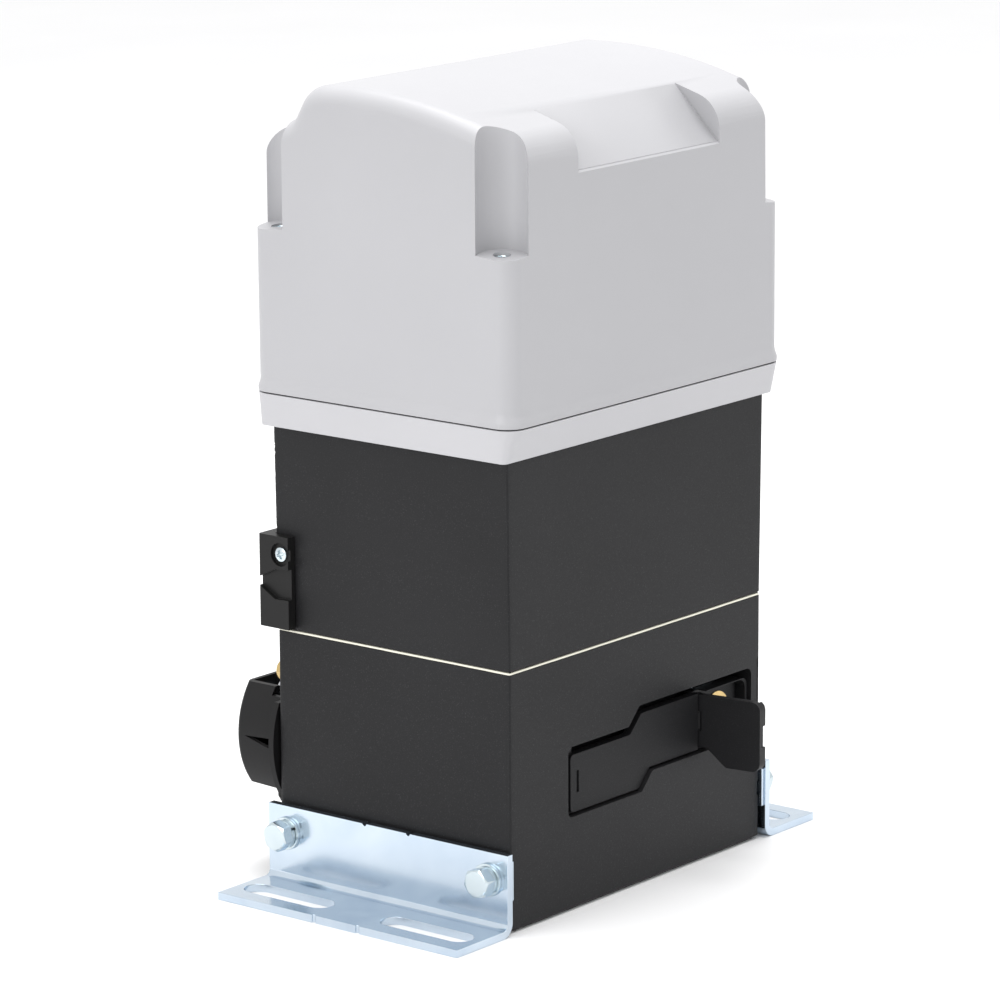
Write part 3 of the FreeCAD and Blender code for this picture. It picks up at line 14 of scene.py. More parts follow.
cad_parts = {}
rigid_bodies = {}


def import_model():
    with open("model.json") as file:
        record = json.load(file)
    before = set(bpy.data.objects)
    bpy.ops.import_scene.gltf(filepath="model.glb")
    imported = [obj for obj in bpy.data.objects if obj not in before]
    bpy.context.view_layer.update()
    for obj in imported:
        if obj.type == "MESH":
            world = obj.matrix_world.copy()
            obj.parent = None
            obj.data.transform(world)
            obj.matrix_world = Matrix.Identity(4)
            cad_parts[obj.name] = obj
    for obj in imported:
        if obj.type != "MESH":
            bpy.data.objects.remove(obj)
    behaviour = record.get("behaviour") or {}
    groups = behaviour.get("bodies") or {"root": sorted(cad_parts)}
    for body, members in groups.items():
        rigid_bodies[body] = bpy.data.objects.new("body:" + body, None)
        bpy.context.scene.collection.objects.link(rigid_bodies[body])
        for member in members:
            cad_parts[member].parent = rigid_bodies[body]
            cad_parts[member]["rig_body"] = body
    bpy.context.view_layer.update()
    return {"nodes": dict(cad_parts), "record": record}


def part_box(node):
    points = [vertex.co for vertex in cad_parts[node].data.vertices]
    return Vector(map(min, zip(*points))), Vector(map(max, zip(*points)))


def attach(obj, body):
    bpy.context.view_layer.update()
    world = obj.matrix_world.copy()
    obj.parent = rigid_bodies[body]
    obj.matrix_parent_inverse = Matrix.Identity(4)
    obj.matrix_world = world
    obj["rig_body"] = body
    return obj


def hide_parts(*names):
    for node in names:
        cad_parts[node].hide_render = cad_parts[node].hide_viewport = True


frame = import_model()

MM = 0.001
TURN = 2.0 * math.pi
UP = (0.0, 0.0, 1.0)
BACKWARD = (0.0, 1.0, 0.0)
NEW_MERGE = 2e-6
SOLID_MERGE = 4e-6
FLAT_TURN = 0.6
ROUNDED_TURN = 38.0
ARC_SLACK = 0.03
TINY = 1e-9
STEPS = 72
LOG = logging.getLogger("gate_motor")

Array = np.ndarray
Piece = bpy.types.Object
Material = bpy.types.Material
Socket = bpy.types.NodeSocket
NodeTree = bpy.types.NodeTree


# Meshes worked out as arrays


def rings(radius: object, angle: object, height: object) -> Array:
    """Points (r cos a, r sin a, h) of polar values that are broadcast against each other."""
    radius, angle, height = np.broadcast_arrays(radius, angle, height)
    return np.stack([radius * np.cos(angle), radius * np.sin(angle), height], -1)


def border(grid: Array) -> Array:
    """Points round the edge of a square grid, walked once."""
    return np.concatenate([grid[0, :-1], grid[:-1, -1], grid[-1, :0:-1], grid[:0:-1, 0]])


def aim(points: Array, place: tuple, axis: tuple, across: tuple = UP) -> Array:
    """Moves points from a local frame, whose Z is the axis, to their place on the object.

    Args:
        points: local points in millimetres, any shape ending in 3.
        place: where the local origin goes, in millimetres.
        axis: direction of local Z.
        across: direction near local X.

    Returns:
        The same points on the object, in metres.
    """
    up = np.array(axis, float) / np.linalg.norm(axis)
    side = np.array(across, float) - up * np.dot(across, up)
    side /= np.linalg.norm(side)
    basis = np.stack([side, np.cross(up, side), up])
    return (points @ basis + np.array(place, float)) * MM


@dataclass
class Patch:
    """One grid surface: its points and whether its rows or columns close on themselves."""

    points: Array
    wrap_rows: bool = False
    wrap_cols: bool = False

    def faces(self) -> Array:
        """Quads of the grid, whose point (row, col) has the index row * cols + col.

        Returns:
            Array with the four indices of each quad.
        """
        rows, cols = self.points.shape[:2]
        row, col = np.meshgrid(
            np.arange(rows if self.wrap_rows else rows - 1),
            np.arange(cols if self.wrap_cols else cols - 1),
            indexing="ij",
        )
        below, beside = (row + 1) % rows * cols, (col + 1) % cols
        quads = (row * cols + col, row * cols + beside, below + beside, below + col)
        return np.stack(quads, -1).reshape(-1, 4)


def link(name: str, data: bpy.types.ID) -> Piece:
    """Puts a new object into the scene.

    Args:
        name: name of the object.
        data: its mesh, lamp or camera.

    Returns:
        The object.
    """
    obj = bpy.data.objects.new(name, data)
    bpy.context.scene.collection.objects.link(obj)
    return obj


def make_piece(name: str, patches: list[Patch], sharp: float = 32.0) -> Piece:
    """Puts grid surfaces into one mesh object, with doubles merged and faces turned outwards.

    Args:
        name: name of the new piece.
        patches: the grid surfaces, in metres.
        sharp: edges that turn more than this many degrees stay crisp.

    Returns:
        The linked object, at the origin.
    """
    points, faces, start = [], [], 0
    for patch in patches:
        points.append(patch.points.reshape(-1, 3))
        faces.append(patch.faces() + start)
        start += len(points[-1])
    mesh = bpy.data.meshes.new(name)
    mesh.from_pydata(np.concatenate(points), [], np.concatenate(faces))
    obj = link(name, mesh)
    clean_mesh(obj, NEW_MERGE, sharp)
    return obj


def clean_mesh(obj: Piece, merge: float, sharp: float, flatten: bool = False) -> None:
    """Merges doubles, drops slivers, turns faces outwards and shades the mesh.

    Args:
        obj: the mesh object.
        merge: points nearer than this many metres become one.
        sharp: edges that turn more than this many degrees stay crisp.
        flatten: joins triangles that lie in one plane.
    """
    bm = bmesh.new()
    bm.from_mesh(obj.data)
    bmesh.ops.remove_doubles(bm, verts=bm.verts, dist=merge)
    bmesh.ops.dissolve_degenerate(bm, edges=bm.edges, dist=merge)
    if flatten:
        limit = math.radians(FLAT_TURN)
        bmesh.ops.dissolve_limit(bm, angle_limit=limit, verts=bm.verts, edges=bm.edges)
    bmesh.ops.recalc_face_normals(bm, faces=bm.faces)
    bm.to_mesh(obj.data)
    bm.free()
    shade(obj, sharp)


def shade(obj: Piece, sharp: float) -> None:
    """Shades a piece smooth between its crisp edges.

    Args:
        obj: the mesh object.
        sharp: edges that turn more than this many degrees stay crisp.
    """
    obj.data.shade_smooth()
    obj.data.set_sharp_from_angle(angle=math.radians(sharp))
    obj.data.update()


@dataclass(frozen=True)
class Refit:
    """Carries a housing's upright skin from one rounded outline to a nearby one, level by level.

    Each row of old and new is (half width, half depth, corner radius, middle along Y) at its
    level, with straight blends between. Points further in than two corner radii stay. A ray at
    angle a leaves a unit square with corners of radius q at 1 / max(cos a, sin a) on its flat
    part, and on its corner at m + sqrt(m^2 - 2 k^2 + q^2), with k = 1 - q, m = k (cos a + sin a).
    """

    levels: tuple
    old: tuple
    new: tuple

    def apply(self, obj: Piece) -> None:
        """Cuts rings at the inner levels and moves the points.

        Args:
            obj: the mesh object.
        """
        bm = bmesh.new()
        bm.from_mesh(obj.data)
        for z in self.levels[1:-1]:
            every = bm.verts[:] + bm.edges[:] + bm.faces[:]
            bmesh.ops.bisect_plane(bm, geom=every, plane_co=(0.0, 0.0, z * MM), plane_no=UP)
        points = np.array([v.co[:] for v in bm.verts]) / MM
        for vert, place in zip(bm.verts, self.moved(points) * MM):
            vert.co = place
        bm.to_mesh(obj.data)
        bm.free()

    def moved(self, points: Array) -> Array:
        """Where the points go.

        Args:
            points: array of points in millimetres.

        Returns:
            The points in their new places, in millimetres.
        """
        old, new = (
            np.stack([np.interp(points[:, 2], self.levels, column) for column in zip(*rows)], -1)
            for rows in (self.old, self.new)
        )
        radius = old[:, 2]
        middle, target = (np.stack([np.zeros_like(radius), rows[:, 3]], -1) for rows in (old, new))
        flat = points[:, :2] - middle
        local = (np.abs(flat) - old[:, :2]) / radius[:, None] + 1.0
        reach = np.linalg.norm(np.maximum(local, 0.0), axis=1)
        on_corner = (local > 0.0).all(1) & (np.abs(reach - 1.0) < ARC_SLACK)
        cosine, sine = (np.maximum(local, TINY) / np.maximum(reach, TINY)[:, None]).T
        q = new[:, 2] / radius
        k = 1.0 - q
        m = k * (cosine + sine)
        out = 1.0 / np.maximum(cosine, sine)
        bend = m + np.sqrt(np.maximum(m**2 - 2.0 * k**2 + q**2, 0.0))
        ray = np.where(out * np.minimum(cosine, sine) <= k, out, bend)
        pushed = np.where(on_corner[:, None], local * (ray[:, None] - 1.0), 0.0) * radius[:, None]
        share = np.clip(1.0 + local, 0.0, 1.0)
        sign = np.sign(flat)
        result = points.copy()
        result[:, :2] += share * (target - middle + sign * (new[:, :2] - old[:, :2]))
        result[:, :2] += sign * pushed
        return result


def soft_rectangle(x: tuple, y: tuple, radius: float) -> Array:
    """Outline of a rectangle with each corner rounded by a quadratic curve of four points.

    Args:
        x: left and right side.
        y: lower and upper side.
        radius: how far from each corner its curve starts.

    Returns:
        Array of 16 pairs, once round.
    """
    pts = np.array([(x[0], y[0]), (x[1], y[0]), (x[1], y[1]), (x[0], y[1])], float)
    ends = []
    for step in (1, -1):
        way = np.roll(pts, step, 0) - pts
        gap = np.linalg.norm(way, axis=1, keepdims=True)
        ends.append((pts + way / gap * np.minimum(radius, gap * 0.48))[:, None])
    t = np.linspace(0.0, 1.0, 4)[None, :, None]
    curve = (1 - t) ** 2 * ends[0] + 2 * t * (1 - t) * pts[:, None] + t**2 * ends[1]
    return curve.reshape(-1, 2)


def step_up(value: Array, low: float, high: float) -> Array:
    """Smooth step: 0 below low, 1 above high, and 3t^2 - 2t^3 between."""
    t = np.clip((value - low) / (high - low), 0.0, 1.0)
    return t * t * (3.0 - 2.0 * t)


# Fasteners


class Recess(Enum):
    """Drive recess in a screw head."""

    CROSS = "cross"
    SOCKET = "socket"


class Fastener:
    """A fastener built about local Z, with its seat at zero, in millimetres."""

    def local(self) -> list[Patch]:
        """Its surfaces in the local frame."""
        raise NotImplementedError

    def patches(self, place: tuple, axis: tuple, across: tuple = UP) -> list[Patch]:
        """Its surfaces on the object, with the place and directions that aim takes."""
        return [replace(p, points=aim(p.points, place, axis, across)) for p in self.local()]


@dataclass(frozen=True)
class ScrewHead(Fastener):
    """A screw head with a domed face, its drive recess and its shank."""

    radius: float
    height: float
    dome: float
    recess: Recess
    recess_size: float
    recess_deep: float
    shank_r: float
    shank_long: float
    rim: float = 0.25
    grid: int = 61

    def local(self) -> list[Patch]:
        """Face: height minus dome times (r / R)^2 minus the recess. Side and shank: turned.

        Returns:
            The face, and the side with the shank.
        """
        inner = self.radius - self.rim
        x, y = self.disc() * inner
        z = self.height - self.dome * (np.hypot(x, y) / self.radius) ** 2
        z -= self.recess_deep * self.recess_at(x, y)
        face = np.stack([x, y, z], -1)
        top = self.height - self.dome * (inner / self.radius) ** 2
        profile = (
            (self.radius - 0.06, top - 0.1),
            (self.radius, top - 0.3),
            (self.radius, 0.12),
            (self.radius - 0.12, 0.0),
            (self.shank_r, 0.0),
            (self.shank_r, -self.shank_long),
            (0.0, -self.shank_long),
        )
        radius, height = np.array(profile).T[..., None]
        edge = border(face)
        side = rings(radius, np.arctan2(edge[:, 1], edge[:, 0]), height)
        return [Patch(face), Patch(np.concatenate([edge[None], side]), wrap_cols=True)]

    def disc(self) -> Array:
        """A square grid pressed into a unit disc, so that its rings are circles.

        Returns:
            Its x and y, stacked.
        """
        side = np.linspace(-1.0, 1.0, self.grid)
        square = np.stack(np.meshgrid(side, side, indexing="ij"))
        length = np.hypot(*square)
        reach = np.abs(square).max(0)
        return square * np.divide(reach, length, out=np.ones_like(reach), where=length > TINY)

    def recess_at(self, x: Array, y: Array) -> Array:
        """How deep the recess is, from 0 outside to 1 at its floor.

        Args:
            x: distance from the middle of the head to one side.
            y: distance at right angles to that.

        Returns:
            Array like x.
        """
        half, wall = self.recess_size / 2.0, self.recess_size * 0.07
        if self.recess is Recess.CROSS:
            narrow = np.minimum(np.abs(x), np.abs(y))
            wide = np.maximum(np.abs(x), np.abs(y))
            arm = self.recess_size * 0.11
            narrow = 1.0 - step_up(narrow, arm, arm + wall)
            return narrow * (1.0 - step_up(wide, half - wall, half + wall))
        sides = (0.0, math.pi / 3, 2 * math.pi / 3)
        reach = np.maximum.reduce([np.abs(x * math.cos(a) + y * math.sin(a)) for a in sides])
        return 1.0 - step_up(reach, half - wall, half)


@dataclass(frozen=True)
class HexHead(Fastener):
    """Hexagon head: a hexagon whose corners are cut by a flat cone, with a shallow dome.

    Corner and cone_from are shares of half the width across the flats, and cone is in degrees.
    """

    flats: float
    height: float
    shank_r: float
    shank_long: float
    dome: float = 0.5
    corner: float = 1.135
    cone_from: float = 0.93
    cone: float = 30.0

    def local(self) -> list[Patch]:
        """The reach is half / cos(angle to the nearest flat), and the cone lowers the corners.

        Returns:
            One surface, from the middle of the face to the end of the shank.
        """
        half = self.flats / 2.0
        angle = np.linspace(0.0, TURN, 2 * STEPS, endpoint=False)
        turn = (angle + math.pi / 6.0) % (math.pi / 3.0) - math.pi / 6.0
        hexagon = np.minimum(half / np.cos(turn), half * self.corner)
        share = np.array([0.0, 0.25, 0.5, 0.7, 0.82, 0.88, 0.92, 0.95, 0.975, 1.0])
        reach = np.outer(share, hexagon)
        cut = np.maximum(reach - half * self.cone_from, 0.0)
        drop = cut * math.tan(math.radians(self.cone))
        drop += self.dome * (reach / half) ** 2 * 0.5
        rows = [rings(reach, angle, self.height - drop)]
        for radius, level in (
            (hexagon, 0.45),
            (hexagon, 0.2),
            (hexagon - 0.15, 0.0),
            (self.shank_r, 0.0),
            (self.shank_r, -self.shank_long),
            (0.0, -self.shank_long),
        ):
            rows.append(rings(radius, angle, level)[None])
        return [Patch(np.concatenate(rows), wrap_cols=True)]


@dataclass(frozen=True)
class SpringWasher(Fastener):
    """Split washer: a rectangular section carried along one turn of a shallow helix."""

    inner: float
    outer: float
    thick: float
    split: float = 1.3
    lift: float = 0.25

    def local(self) -> list[Patch]:
        """Section point k at angle a is (r_k cos a, r_k sin a, h_k + lift * (a / 2 pi - 1 / 2)).

        Returns:
            One surface, closed to a point at both ends.
        """
        gap = self.split / (self.inner + self.outer)
        angle = np.linspace(gap, TURN - gap, STEPS)[:, None]
        half = (self.thick - self.lift) / 2.0
        radius, height = soft_rectangle((self.inner, self.outer), (-half, half), 0.35).T
        tube = rings(radius, angle, height + self.lift * (angle / TURN - 0.5))
        centre = tube.mean(1, keepdims=True).repeat(tube.shape[1], 1)
        return [Patch(np.concatenate([centre[:1], tube, centre[-1:]]), wrap_cols=True)]


@dataclass(frozen=True)
class PlainWasher(Fastener):
    """Flat ring with stamped edges."""

    inner: float
    outer: float
    thick: float

    def local(self) -> list[Patch]:
        """A rounded rectangle turned about the axis.

        Returns:
            One surface, closed both ways.
        """
        section = soft_rectangle((self.inner, self.outer), (0.0, self.thick), 0.4)
        radius, height = section.T[..., None]
        angle = np.linspace(0.0, TURN, STEPS, endpoint=False)
        return [Patch(rings(radius, angle, height), True, True)]


def fasteners(name: str, kind: Fastener, seats: list[tuple], sharp: float = 32.0) -> Piece:
    """One piece with a fastener on every seat.

    Args:
        name: name of the new piece.
        kind: the fastener.
        seats: place, axis and, if it matters, direction across of each one, as aim takes them.
        sharp: edges that turn more than this many degrees stay crisp.

    Returns:
        The linked object.
    """
    return make_piece(name, [patch for seat in seats for patch in kind.patches(*seat)], sharp)


def soft_copy(
    node: str, bevel: float, segments: int = 2, sharp: float = 30.0, refit: Refit | None = None
) -> Piece:
    """A merged copy of a frame node with its crisp edges broken by a small rounding.

    Args:
        node: name of the frame node.
        bevel: width of the rounding in millimetres, or 0 for none.
        segments: faces across the rounding.
        sharp: edges that turn more than this many degrees stay crisp.
        refit: small change of the outline, made before the rounding.

    Returns:
        The new piece, which stands for the node and rides on its body.
    """
    source = frame["nodes"][node]
    mesh = source.data.copy()
    mesh.materials.clear()
    obj = link(node + "_skin", mesh)
    clean_mesh(obj, SOLID_MERGE, sharp, flatten=True)
    if refit:
        refit.apply(obj)
        shade(obj, sharp)
    if bevel > 0:
        mod = obj.modifiers.new("edge", "BEVEL")
        mod.width = bevel * MM
        mod.segments = segments
        mod.limit_method = "ANGLE"
        mod.angle_limit = math.radians(ROUNDED_TURN)
        mod.use_clamp_overlap = True
    even = obj.modifiers.new("even", "WEIGHTED_NORMAL")
    even.mode = "FACE_AREA"
    even.weight = 60
    even.keep_sharp = True
    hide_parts(node)
    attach(obj, source["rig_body"])
    return obj


# Shader groups shared by the finishes


class Tree:
    """Short way to fill a node tree."""

    def __init__(self, tree: NodeTree) -> None:
        """Keeps the tree to fill."""
        self.tree = tree

    def add(self, kind: str, values: dict | None = None, **settings: object) -> bpy.types.Node:
        """Adds a node, sets its properties and its sockets, and links sockets given as outputs.

        Args:
            kind: node type.
            values: socket name or index to a constant or to another node's output.
            settings: node properties.

        Returns:
            The new node.
        """
        node = self.tree.nodes.new(kind)
        for key, value in settings.items():
            setattr(node, key, value)
        for key, value in (values or {}).items():
            if isinstance(value, Socket):
                self.tree.links.new(value, node.inputs[key])
            else:
                node.inputs[key].default_value = value
        return node

    def use(self, group: NodeTree, **values: float) -> bpy.types.bpy_prop_collection:
        """Puts a shared group into the tree, with its inputs set, and gives its outputs."""
        return self.add("ShaderNodeGroup", values, node_tree=group).outputs

    def place(self) -> Socket:
        """The place on the object, in its own frame."""
        return self.add("ShaderNodeTexCoord").outputs["Object"]

    def math(self, operation: str, a: object, b: object = 0.0, clamp: bool = False) -> Socket:
        """One arithmetic step on two values."""
        node = self.add("ShaderNodeMath", {0: a, 1: b}, operation=operation, use_clamp=clamp)
        return node.outputs[0]

    def spread(
        self, value: object, low: float, high: float, to_low: float = 0.0, to_high: float = 1.0
    ) -> Socket:
        """Maps a range of values to another range, clamped."""
        ends = {"From Min": low, "From Max": high, "To Min": to_low, "To Max": to_high}
        return self.add("ShaderNodeMapRange", {"Value": value, **ends}).outputs["Result"]

    def noise(
        self, where: object, scale: object, detail: float, rough: float = 0.5, warp: float = 0.0
    ) -> Socket:
        """Noise value at a place."""
        given = {"Scale": scale, "Detail": detail, "Roughness": rough, "Distortion": warp}
        return self.add("ShaderNodeTexNoise", {"Vector": where, **given}).outputs[0]

    def blend(self, share: object, a: object, b: object) -> Socket:
        """Mix of two colours.

        Args:
            share: share of the second colour.
            a: first colour, as a socket or three numbers.
            b: second colour, likewise.

        Returns:
            The mixed colour.
        """
        node = self.add("ShaderNodeMix", data_type="RGBA")
        sockets = [s for s in node.inputs if s.type == "RGBA"]
        for socket, value in ((node.inputs[0], share), (sockets[0], a), (sockets[1], b)):
            if isinstance(value, Socket):
                self.tree.links.new(value, socket)
            else:
                socket.default_value = (*value, 1.0)
        return next(s for s in node.outputs if s.type == "RGBA")


def new_group(name: str, inputs: dict[str, float], outputs: tuple) -> tuple:
    """Starts a shader group whose inputs and outputs are numbers.

    Args:
        name: name of the group.
        inputs: socket name to its default value.
        outputs: names of the outputs.

    Returns:
        The group, its filler and the sockets that bring in its inputs.
    """
    group = bpy.data.node_groups.new(name, "ShaderNodeTree")
    for key, value in inputs.items():
        socket = group.interface.new_socket(key, in_out="INPUT", socket_type="NodeSocketFloat")
        socket.default_value = value
    for key in outputs:
        group.interface.new_socket(key, in_out="OUTPUT", socket_type="NodeSocketFloat")
    t = Tree(group)
    return group, t, t.add("NodeGroupInput").outputs


def edge_wear_and_light_group() -> NodeTree:
    """Edge mask for worn, rubbed edges and for painted highlight and painted shade along edges:
    the angle between the true normal and one rounded over a radius, with noise.

    Returns:
        The group.
    """
    inputs = {"Radius": 0.001, "Amount": 0.5, "Breakup": 300.0}
    group, t, given = new_group("edge wear", inputs, ("Mask",))
    soft = t.add("ShaderNodeBevel", {"Radius": given["Radius"]}, samples=4).outputs[0]
    plain = t.add("ShaderNodeNewGeometry").outputs["Normal"]
    dot = t.add("ShaderNodeVectorMath", {0: soft, 1: plain}, operation="DOT_PRODUCT")
    edge = t.spread(t.math("SUBTRACT", 1.0, dot.outputs["Value"]), 0.02, 0.25)
    broken = t.spread(t.noise(t.place(), given["Breakup"], 4.0), 0.42, 0.62)
    mask = t.math("MULTIPLY", t.math("MULTIPLY", edge, broken), given["Amount"], clamp=True)
    t.add("NodeGroupOutput", {"Mask": mask})
    return group


def grain_group() -> NodeTree:
    """Fine surface grain: small noise for height, finer for speckle, and broad for tone.

    Returns:
        The group.
    """
    inputs = {"Scale": 1500.0, "Speckle": 2600.0, "Broad": 9.0}
    group, t, given = new_group("surface grain", inputs, ("Height", "Fleck", "Tone"))
    place = t.place()
    height = t.noise(place, given["Scale"], 3.0)
    fleck = t.spread(t.noise(place, given["Speckle"], 1.0), 0.62, 0.78)
    tone = t.noise(place, given["Broad"], 4.0)
    t.add("NodeGroupOutput", {"Height": height, "Fleck": fleck, "Tone": tone})
    return group


def dust_group() -> NodeTree:
    """Dust: upward faces, gathered by a broad noise.

    Returns:
        The group.
    """
    group, t, given = new_group("settled dust", {"Amount": 0.2}, ("Mask",))
    normal = t.add("ShaderNodeNewGeometry").outputs["Normal"]
    facing = t.spread(t.add("ShaderNodeSeparateXYZ", {0: normal}).outputs["Z"], 0.55, 0.98)
    cloud = t.spread(t.noise(t.place(), 60.0, 6.0, 0.65), 0.35, 0.75)
    mask = t.math("MULTIPLY", t.math("MULTIPLY", facing, cloud), given["Amount"], clamp=True)
    t.add("NodeGroupOutput", {"Mask": mask})
    return group


def plating_group() -> NodeTree:
    """Passivated zinc: soft clouds between a cool and a warm tint, drawn streaks and spangle.

    Returns:
        The group.
    """
    inputs = {"Cloud": 34.0, "Streak": 420.0}
    group, t, given = new_group("bright plating", inputs, ("Tint", "Haze", "Height"))
    place = t.place()
    drawn = t.add("ShaderNodeMapping", {"Vector": place, "Scale": (1.0, 0.05, 1.0)}).outputs[0]
    cloud = t.noise(place, given["Cloud"], 3.0, warp=0.8)
    streak = t.noise(drawn, given["Streak"], 4.0)
    fine = t.noise(place, 2400.0, 2.0)
    haze = t.math("ADD", t.math("MULTIPLY", streak, 0.3), t.math("MULTIPLY", cloud, 0.7))
    height = t.math("ADD", t.math("MULTIPLY", streak, 0.7), t.math("MULTIPLY", fine, 0.3))
    tint = t.spread(cloud, 0.25, 0.75)
    t.add("NodeGroupOutput", {"Tint": tint, "Haze": haze, "Height": height})
    return group


class SharedGroups:
    """The shader groups, each made once."""

    def __init__(self) -> None:
        """Builds every group."""
        self.wear_and_painted_light = edge_wear_and_light_group()
        self.grain = grain_group()
        self.dust = dust_group()
        self.plating = plating_group()


# Finishes


def start_material(name: str) -> tuple[Material, Tree, bpy.types.Node]:
    """Starts a material with a fresh tree.

    Args:
        name: name of the material.

    Returns:
        The material, its filler and its surface shader, already joined to the output.
    """
    material = bpy.data.materials.new(name)
    material.use_nodes = True
    material.node_tree.nodes.clear()
    t = Tree(material.node_tree)
    surface = t.add("ShaderNodeBsdfPrincipled")
    t.add("ShaderNodeOutputMaterial", {"Surface": surface.outputs[0]})
    return material, t, surface


@dataclass(frozen=True)
class Finish:
    """What every finish has.

    Its roughness runs by span about its own value, while the haze goes through its range. Depth
    is the strength of its bumps, and step is their height in metres.
    """

    name: str
    color: tuple
    roughness: float
    span: tuple = (-0.03, 0.04)
    haze: tuple = (0.3, 0.7)
    depth: float = 0.05
    step: float = 0.0001
    shine: float = 0.5
    metallic: float = 0.0

    def tinted(self, factor: float) -> tuple:
        """The main colour times a factor."""
        return tuple(min(1.0, c * factor) for c in self.color)

    def lay(self, t: Tree, groups: SharedGroups) -> tuple:
        """Lays the finish's own nodes and gives its colour, haze and bump height."""
        raise NotImplementedError

    def material(self, groups: SharedGroups) -> Material:
        """Builds the material.

        Args:
            groups: the shared shader groups.

        Returns:
            The material.
        """
        made, t, surface = start_material(self.name)
        color, haze, height = self.lay(t, groups)
        rough = t.spread(haze, *self.haze, *(self.roughness + part for part in self.span))
        given = {"Strength": self.depth, "Distance": self.step, "Height": height}
        bump = t.add("ShaderNodeBump", given).outputs[0]
        for key, value in (("Base Color", color), ("Roughness", rough), ("Normal", bump)):
            t.tree.links.new(value, surface.inputs[key])
        surface.inputs["Specular IOR Level"].default_value = self.shine
        surface.inputs["Metallic"].default_value = self.metallic
        return made


@dataclass(frozen=True, kw_only=True)
class PowderCoat(Finish):
    """Matt black paint with a fine orange-peel grain and light flecks, paler at the edges, partly
    worn by rubbing and partly a painted highlight.
    """

    fleck: tuple
    grain: float = 900.0
    # Strength of the paler edge: worn paint and a painted highlight.
    wear_and_painted_light: float = 0.3
    span: tuple = (-0.05, 0.06)
    depth: float = 0.12
    step: float = 0.0002
    shine: float = 0.18

    def lay(self, t: Tree, groups: SharedGroups) -> tuple:
        """Two tones, flecks over them and a paler edge.

        Args:
            t: the material's filler.
            groups: the shared shader groups.

        Returns:
            Its colour, haze and bump height.
        """
        grain = t.use(groups.grain, Scale=self.grain, Speckle=self.grain * 1.7, Broad=7.0)
        wear_and_painted_light = t.use(groups.wear_and_painted_light, Radius=0.0007, Amount=self.wear_and_painted_light, Breakup=260.0)
        tone = t.spread(grain["Tone"], 0.3, 0.7)
        toned = t.blend(tone, self.tinted(0.86), self.tinted(1.14))
        flecked = t.blend(t.math("MULTIPLY", grain["Fleck"], 0.38), toned, self.fleck)
        # Paler edge: partly paint worn by rubbing, partly a painted highlight along the edges.
        color = t.blend(wear_and_painted_light["Mask"], flecked, tuple(c * 3.0 + 0.03 for c in self.color))
        return color, grain["Height"], grain["Height"]


@dataclass(frozen=True, kw_only=True)
class Moulded(Finish):
    """Moulded plastic or rubber with a faint spark-eroded grain and slow changes of tone."""

    grain: float = 1400.0
    tone: float = 0.025
    dust: float = 0.0
    shine: float = 0.45

    def lay(self, t: Tree, groups: SharedGroups) -> tuple:
        """Two tones, with dust on what faces up.

        Args:
            t: the material's filler.
            groups: the shared shader groups.

        Returns:
            Its colour, haze and bump height.
        """
        grain = t.use(groups.grain, Scale=self.grain, Speckle=self.grain * 2.0, Broad=5.0)
        tone = t.spread(grain["Tone"], 0.3, 0.7)
        color = t.blend(tone, self.tinted(1.0 - self.tone), self.tinted(1.0 + self.tone))
        if self.dust > 0:
            dust = t.use(groups.dust, Amount=self.dust)
            color = t.blend(dust["Mask"], color, self.tinted(0.86))
        return color, grain["Height"], grain["Height"]


@dataclass(frozen=True, kw_only=True)
class Plated(Finish):
    """Bright passivated zinc with cool and warm clouds, drawn streaks and painted shade along its
    edges.
    """

    warm: tuple
    # Colour factor of the painted shade that darkens the edges.
    rim: float = 0.5
    reach: float = 0.0006
    streak: float = 420.0
    span: tuple = (0.0, 0.05)
    haze: tuple = (0.35, 0.65)
    depth: float = 0.03
    metallic: float = 1.0

    def lay(self, t: Tree, groups: SharedGroups) -> tuple:
        """Clouds of two tints and a darker edge of painted shade.

        Args:
            t: the material's filler.
            groups: the shared shader groups.

        Returns:
            Its colour, haze and bump height.
        """
        cloud = t.use(groups.plating, Cloud=26.0, Streak=self.streak)
        wear_and_painted_light = t.use(groups.wear_and_painted_light, Radius=self.reach, Amount=0.7, Breakup=340.0)
        tint = t.blend(cloud["Tint"], self.color, self.warm)
        # Darker edge: painted shade along the edges.
        color = t.blend(wear_and_painted_light["Mask"], tint, self.tinted(self.rim))
        return color, cloud["Haze"], cloud["Height"]


@dataclass(frozen=True, kw_only=True)
class Machined(Finish):
    """Turned or ground metal with fine tool marks and a thin oily tone."""

    marks: float = 700.0
    along: tuple = (1.0, 1.0, 0.05)
    span: tuple = (0.0, 0.14)
    depth: float = 0.08
    metallic: float = 1.0

    def lay(self, t: Tree, groups: SharedGroups) -> tuple:
        """Tool marks drawn out along one axis, two tones and a brighter edge.

        Args:
            t: the material's filler.
            groups: the shared shader groups.

        Returns:
            Its colour, haze and bump height.
        """
        drawn = t.add("ShaderNodeMapping", {"Vector": t.place(), "Scale": self.along}).outputs[0]
        marks = t.noise(drawn, self.marks, 5.0, 0.6)
        grain = t.use(groups.grain, Scale=1200.0, Speckle=2600.0, Broad=20.0)
        wear_and_painted_light = t.use(groups.wear_and_painted_light, Radius=0.0005, Amount=0.6, Breakup=420.0)
        toned = t.blend(t.spread(grain["Tone"], 0.35, 0.65), self.tinted(0.8), self.color)
        color = t.blend(wear_and_painted_light["Mask"], toned, self.tinted(1.25))
        return color, marks, marks


